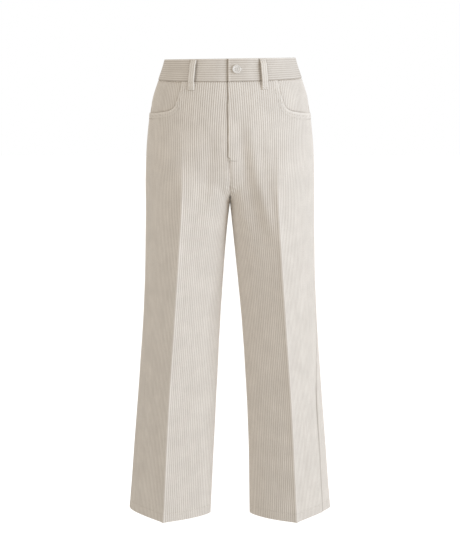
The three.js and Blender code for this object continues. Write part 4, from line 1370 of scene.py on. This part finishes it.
# Settings that a user would change
class ClothSettings(bpy.types.PropertyGroup):
    """The corduroy's ribs and colours."""

    rib_pitch: FloatProperty(
        name="Rib pitch", description="From one rib's groove to the next", default=0.0044, min=0.002,
        max=0.012, precision=4, subtype="DISTANCE", unit="LENGTH",
    )
    rib_depth: FloatProperty(
        name="Rib depth", description="How deep the grooves are", default=0.0009, min=0.0, max=0.0015,
        precision=5, subtype="DISTANCE", unit="LENGTH",
    )
    pile_color: FloatVectorProperty(
        name="Pile", description="Colour of the ribs", default=(0.9, 0.85, 0.785), min=0, max=1,
        subtype="COLOR",
    )
    # Colour between the ribs: partly the ground's own tone and partly painted shade in the grooves; the
    # painted shade beside seams and in the crotch also darkens towards it
    groove_color: FloatVectorProperty(
        name="Groove", description="Colour between the ribs", default=(0.54, 0.48, 0.415), min=0, max=1,
        subtype="COLOR",
    )
    sheen: FloatProperty(
        name="Sheen", description="How much the pile catches light from the side", default=0.25, min=0, max=1,
        subtype="FACTOR",
    )


class SewingSettings(bpy.types.PropertyGroup):
    """The thread and its stitches."""

    stitch_length: FloatProperty(
        name="Stitch", description="Length of a topstitch", default=0.0029, min=0.0015, max=0.006,
        precision=4, subtype="DISTANCE", unit="LENGTH",
    )
    stitch_gap: FloatProperty(
        name="Gap", description="Cloth between two topstitches", default=0.0006, min=0.0002, max=0.003,
        precision=4, subtype="DISTANCE", unit="LENGTH",
    )
    thread_width: FloatProperty(
        name="Thread", description="Thickness of the thread", default=0.00065, min=0.0002, max=0.0015,
        precision=5, subtype="DISTANCE", unit="LENGTH",
    )
    thread_color: FloatVectorProperty(
        name="Thread colour", description="Colour of the thread", default=(0.9, 0.855, 0.79), min=0, max=1,
        subtype="COLOR",
    )


class ButtonSettings(bpy.types.PropertyGroup):
    """The waist button's colour."""

    color: FloatVectorProperty(
        name="Button", description="Colour of the button", default=RECORD_COLORS["button"], min=0, max=1,
        subtype="COLOR",
    )


class StageSettings(bpy.types.PropertyGroup):
    """The camera, the floor and the studio light."""

    camera_away: FloatProperty(
        name="Camera distance", description="From the camera to the waist opening's middle", default=2.5,
        min=0.5, max=20, subtype="DISTANCE", unit="LENGTH",
    )
    camera_down: FloatProperty(
        name="Camera tilt", description="How far the camera looks down", default=math.radians(10.23),
        min=-1.5, max=1.5, subtype="ANGLE", unit="ROTATION",
    )
    lens: FloatProperty(
        name="Lens", description="Focal length on a sensor 36 mm wide", default=78.6, min=20, max=300,
        subtype="DISTANCE_CAMERA", unit="CAMERA",
    )
    floor_below: FloatProperty(
        name="Floor", description="How far the floor lies below the hems", default=0.35, min=0.0, max=3,
        subtype="DISTANCE", unit="LENGTH",
    )
    floor_glow: FloatProperty(
        name="Floor glow", description="How brightly the floor is lit from within", default=0.62, min=0,
        max=2, subtype="FACTOR",
    )
    key_power: FloatProperty(
        name="Key light", description="Power of the large light on the viewer's right", default=66, min=0,
        max=1000, subtype="POWER", unit="POWER",
    )
    fill_power: FloatProperty(
        name="Fill light", description="Power of the soft light on the viewer's left", default=2.5, min=0,
        max=1000, subtype="POWER", unit="POWER",
    )
    sky_strength: FloatProperty(
        name="Surround", description="Strength of the even light from all round", default=0.57, min=0, max=3,
        subtype="FACTOR",
    )


@cache
def halves():
    """The two halves' forms, worked out once."""
    return [Half(name) for name in SIDES]


class TROUSERS_OT_fronts(bpy.types.Operator):
    """Make the two fronts, with pressed creases, lapped fly, pocket mouths and turned-up hems"""

    bl_idname = "trousers.fronts"
    bl_label = "Fronts"
    bl_options = {"REGISTER", "UNDO"}

    def execute(self, context):
        for half in halves():
            piece = front_panel(half, context.scene.trousers_cloth)
            half.seam(PANEL_ROWS) + fly_reach(half, PANEL_ROWS)
        return {"FINISHED"}


class TROUSERS_OT_backs(bpy.types.Operator):
    """Make the two backs, with their darts, seat folds and turned-up hems"""

    bl_idname = "trousers.backs"
    bl_label = "Backs"
    bl_options = {"REGISTER", "UNDO"}

    def execute(self, context):
        for half in halves():
            piece = back_panel(half, context.scene.trousers_cloth)
            half.whole(PANEL_ROWS) - half.seam(PANEL_ROWS)
        return {"FINISHED"}


class TROUSERS_OT_pocket_facings(bpy.types.Operator):
    """Make the side pieces behind the pocket mouths"""

    bl_idname = "trousers.pocket_facings"
    bl_label = "Pocket facings"
    bl_options = {"REGISTER", "UNDO"}

    def execute(self, context):
        for half in halves():
            piece = pocket_facing(half, context.scene.trousers_cloth)
            width = half.seam(TOP_Z) - half.crease(TOP_Z, "front") + FACING_BESIDE
        return {"FINISHED"}


class TROUSERS_OT_waistband(bpy.types.Operator):
    """Make the waistband's two halves, lapped at the centre front"""

    bl_idname = "trousers.waistband"
    bl_label = "Waistband"
    bl_options = {"REGISTER", "UNDO"}

    def execute(self, context):
        for half in halves():
            piece = waistband(half, context.scene.trousers_cloth)
            length = half.whole(-BAND_HEIGHT / 2) + (FLY_OVERLAP if half.side > 0 else BAND_UNDERLAP)
        return {"FINISHED"}


class TROUSERS_OT_belt_loops(bpy.types.Operator):
    """Make the five belt loops"""

    bl_idname = "trousers.belt_loops"
    bl_label = "Belt loops"
    bl_options = {"REGISTER", "UNDO"}

    def execute(self, context):
        by_side = {half.side: half for half in halves()}
        for name, side, around in LOOPS:
            piece = belt_loop(name, by_side[side], around, context.scene.trousers_cloth)
        return {"FINISHED"}


class TROUSERS_OT_waist_button(bpy.types.Operator):
    """Make the four-hole button, the thread through it and its stitched buttonhole"""

    bl_idname = "trousers.waist_button"
    bl_label = "Button"
    bl_options = {"REGISTER", "UNDO"}

    def execute(self, context):
        half = halves()[0]
        sewing = context.scene.trousers_sewing
        centre, axes = button_seat(half)
        points, faces = turned_mesh(button_points())
        points = centre + points @ axes
        add_mesh("waist_button_shell", points, faces, button_shell(), replaces=["waist_button"])
        out = BUTTON_HOLES["out"]
        level = BUTTON["thick"] - BUTTON["dish"] + 0.05
        beside = np.array([-0.28, 0.28])
        starts = np.array([(-out, row + b, level) for row in (-out, out) for b in beside])
        ends = starts * (-1, 1, 1)
        normals = np.broadcast_to(axes[2], starts.shape)
        row = (centre + starts @ axes, centre + ends @ axes, normals)
        add_stitching("button_thread", [row], sewing, thickness=1.1, rise=0.25)
        add_stitching("buttonhole_thread", [buttonhole_row(half)], sewing, rise=0.12)
        return {"FINISHED"}


class TROUSERS_OT_stitching(bpy.types.Operator):
    """Sew the topstitching of the pocket mouths and hems, and the tacks of the fly and belt loops"""

    bl_idname = "trousers.stitching"
    bl_label = "Stitching"
    bl_options = {"REGISTER", "UNDO"}

    def execute(self, context):
        sewing = context.scene.trousers_sewing
        for half in halves():
            add_stitching("hem_stitching_" + half.name, hem_rows(half, sewing), sewing)
            add_stitching("pocket_stitching_" + half.name, pocket_rows(half, sewing), sewing)
            add_stitching("bar_tacks_" + half.name, tack_rows(half), sewing, thickness=0.9)
        return {"FINISHED"}


class TROUSERS_OT_stage(bpy.types.Operator):
    """Set up the floor, the studio light and the camera at the photograph's angle"""

    bl_idname = "trousers.stage"
    bl_label = "Stage"
    bl_options = {"REGISTER", "UNDO"}

    def execute(self, context):
        stage = context.scene.trousers_stage
        self.floor(stage)
        self.camera(context.scene, stage)
        self.surround(context.scene, stage)
        for name, light in LIGHTS.items():
            self.light(name + "_light", getattr(stage, name + "_power"), **light)
        return {"FINISHED"}

    def floor(self, stage):
        """A wide flat slab below the hems."""
        z = -LENGTH * MM - stage.floor_below
        x, y = np.meshgrid(*2 * [(-FLOOR_HALF_WIDE, FLOOR_HALF_WIDE)], indexing="ij")
        grid = np.stack([x, y, np.full(x.shape, z)], -1) / MM
        points, faces = shell(grid, grid - (0, 0, FLOOR_THICK / MM))[:2]
        mesh = bpy.data.meshes.new("studio_floor")
        mesh.from_pydata(points * MM, [], facing_out(points, faces))
        mesh.materials.append(studio_floor())
        floor = bpy.data.objects.new("studio_floor", mesh)
        bpy.context.scene.collection.objects.link(floor)
        floor.visible_diffuse = False

    def camera(self, scene, stage):
        data = bpy.data.cameras.new("studio_camera")
        data.lens = stage.lens
        data.sensor_width = 36
        camera = bpy.data.objects.new("studio_camera", data)
        camera.location = (0, -stage.camera_away, 0)
        camera.rotation_euler = (math.pi / 2 - stage.camera_down, 0, 0)
        scene.collection.objects.link(camera)
        scene.camera = camera

    def surround(self, scene, stage):
        """A plain white surround, which shows white and lights the cloth more gently than it shows."""
        world = bpy.data.worlds.new("studio_surround")
        world.use_nodes = True
        tree = world.node_tree
        shown = tree.nodes["Background"]
        shown.inputs[0].default_value = (1, 1, 1, 1)
        shown.inputs[1].default_value = 1.0
        lit = tree.nodes.new("ShaderNodeBackground")
        lit.inputs[0].default_value = (1.0, 0.95, 0.88, 1)
        lit.inputs[1].default_value = stage.sky_strength
        path = tree.nodes.new("ShaderNodeLightPath")
        both = tree.nodes.new("ShaderNodeMixShader")
        tree.links.new(path.outputs["Is Camera Ray"], both.inputs[0])
        tree.links.new(lit.outputs[0], both.inputs[1])
        tree.links.new(shown.outputs[0], both.inputs[2])
        tree.links.new(both.outputs[0], tree.nodes["World Output"].inputs[0])
        scene.world = world
        scene.view_settings.view_transform = "Standard"
        scene.view_settings.look = "None"

    def light(self, name, power, place, size, color):
        """A square light that faces the middle of the trousers."""
        data = bpy.data.lights.new(name, "AREA")
        data.energy, data.size, data.color = power, size, color
        lamp = bpy.data.objects.new(name, data)
        lamp.location = place
        aim = Vector((0, 0, -LENGTH * MM / 2)) - Vector(place)
        lamp.rotation_euler = aim.to_track_quat("-Z", "Y").to_euler()
        bpy.context.scene.collection.objects.link(lamp)


SETTINGS = {
    "trousers_cloth": ClothSettings,
    "trousers_sewing": SewingSettings,
    "trousers_button": ButtonSettings,
    "trousers_stage": StageSettings,
}
OPERATORS = (
    TROUSERS_OT_fronts,
    TROUSERS_OT_backs,
    TROUSERS_OT_pocket_facings,
    TROUSERS_OT_waistband,
    TROUSERS_OT_belt_loops,
    TROUSERS_OT_waist_button,
    TROUSERS_OT_stitching,
    TROUSERS_OT_stage,
)


class TROUSERS_PT_sidebar(bpy.types.Panel):
    """Lists the settings and the operators"""

    bl_idname = "TROUSERS_PT_sidebar"
    bl_label = "Corduroy trousers"
    bl_space_type = "VIEW_3D"
    bl_region_type = "UI"
    bl_category = "Trousers"

    def draw(self, context):
        for name, group in SETTINGS.items():
            box = self.layout.box()
            for key in group.__annotations__:
                box.prop(getattr(context.scene, name), key)
        for operator in OPERATORS:
            self.layout.operator(operator.bl_idname)


CLASSES = (*SETTINGS.values(), *OPERATORS, TROUSERS_PT_sidebar)


def register():
    for cls in CLASSES:
        bpy.utils.register_class(cls)
    for name, group in SETTINGS.items():
        setattr(bpy.types.Scene, name, PointerProperty(type=group))


def unregister():
    for name in SETTINGS:
        delattr(bpy.types.Scene, name)
    for cls in reversed(CLASSES):
        bpy.utils.unregister_class(cls)


def main():
    register()
    bpy.ops.trousers.fronts()
    bpy.ops.trousers.backs()
    bpy.ops.trousers.pocket_facings()
    bpy.ops.trousers.waistband()
    bpy.ops.trousers.belt_loops()
    bpy.ops.trousers.waist_button()
    bpy.ops.trousers.stitching()
    bpy.ops.trousers.stage()


if __name__ == "__main__":
    main()
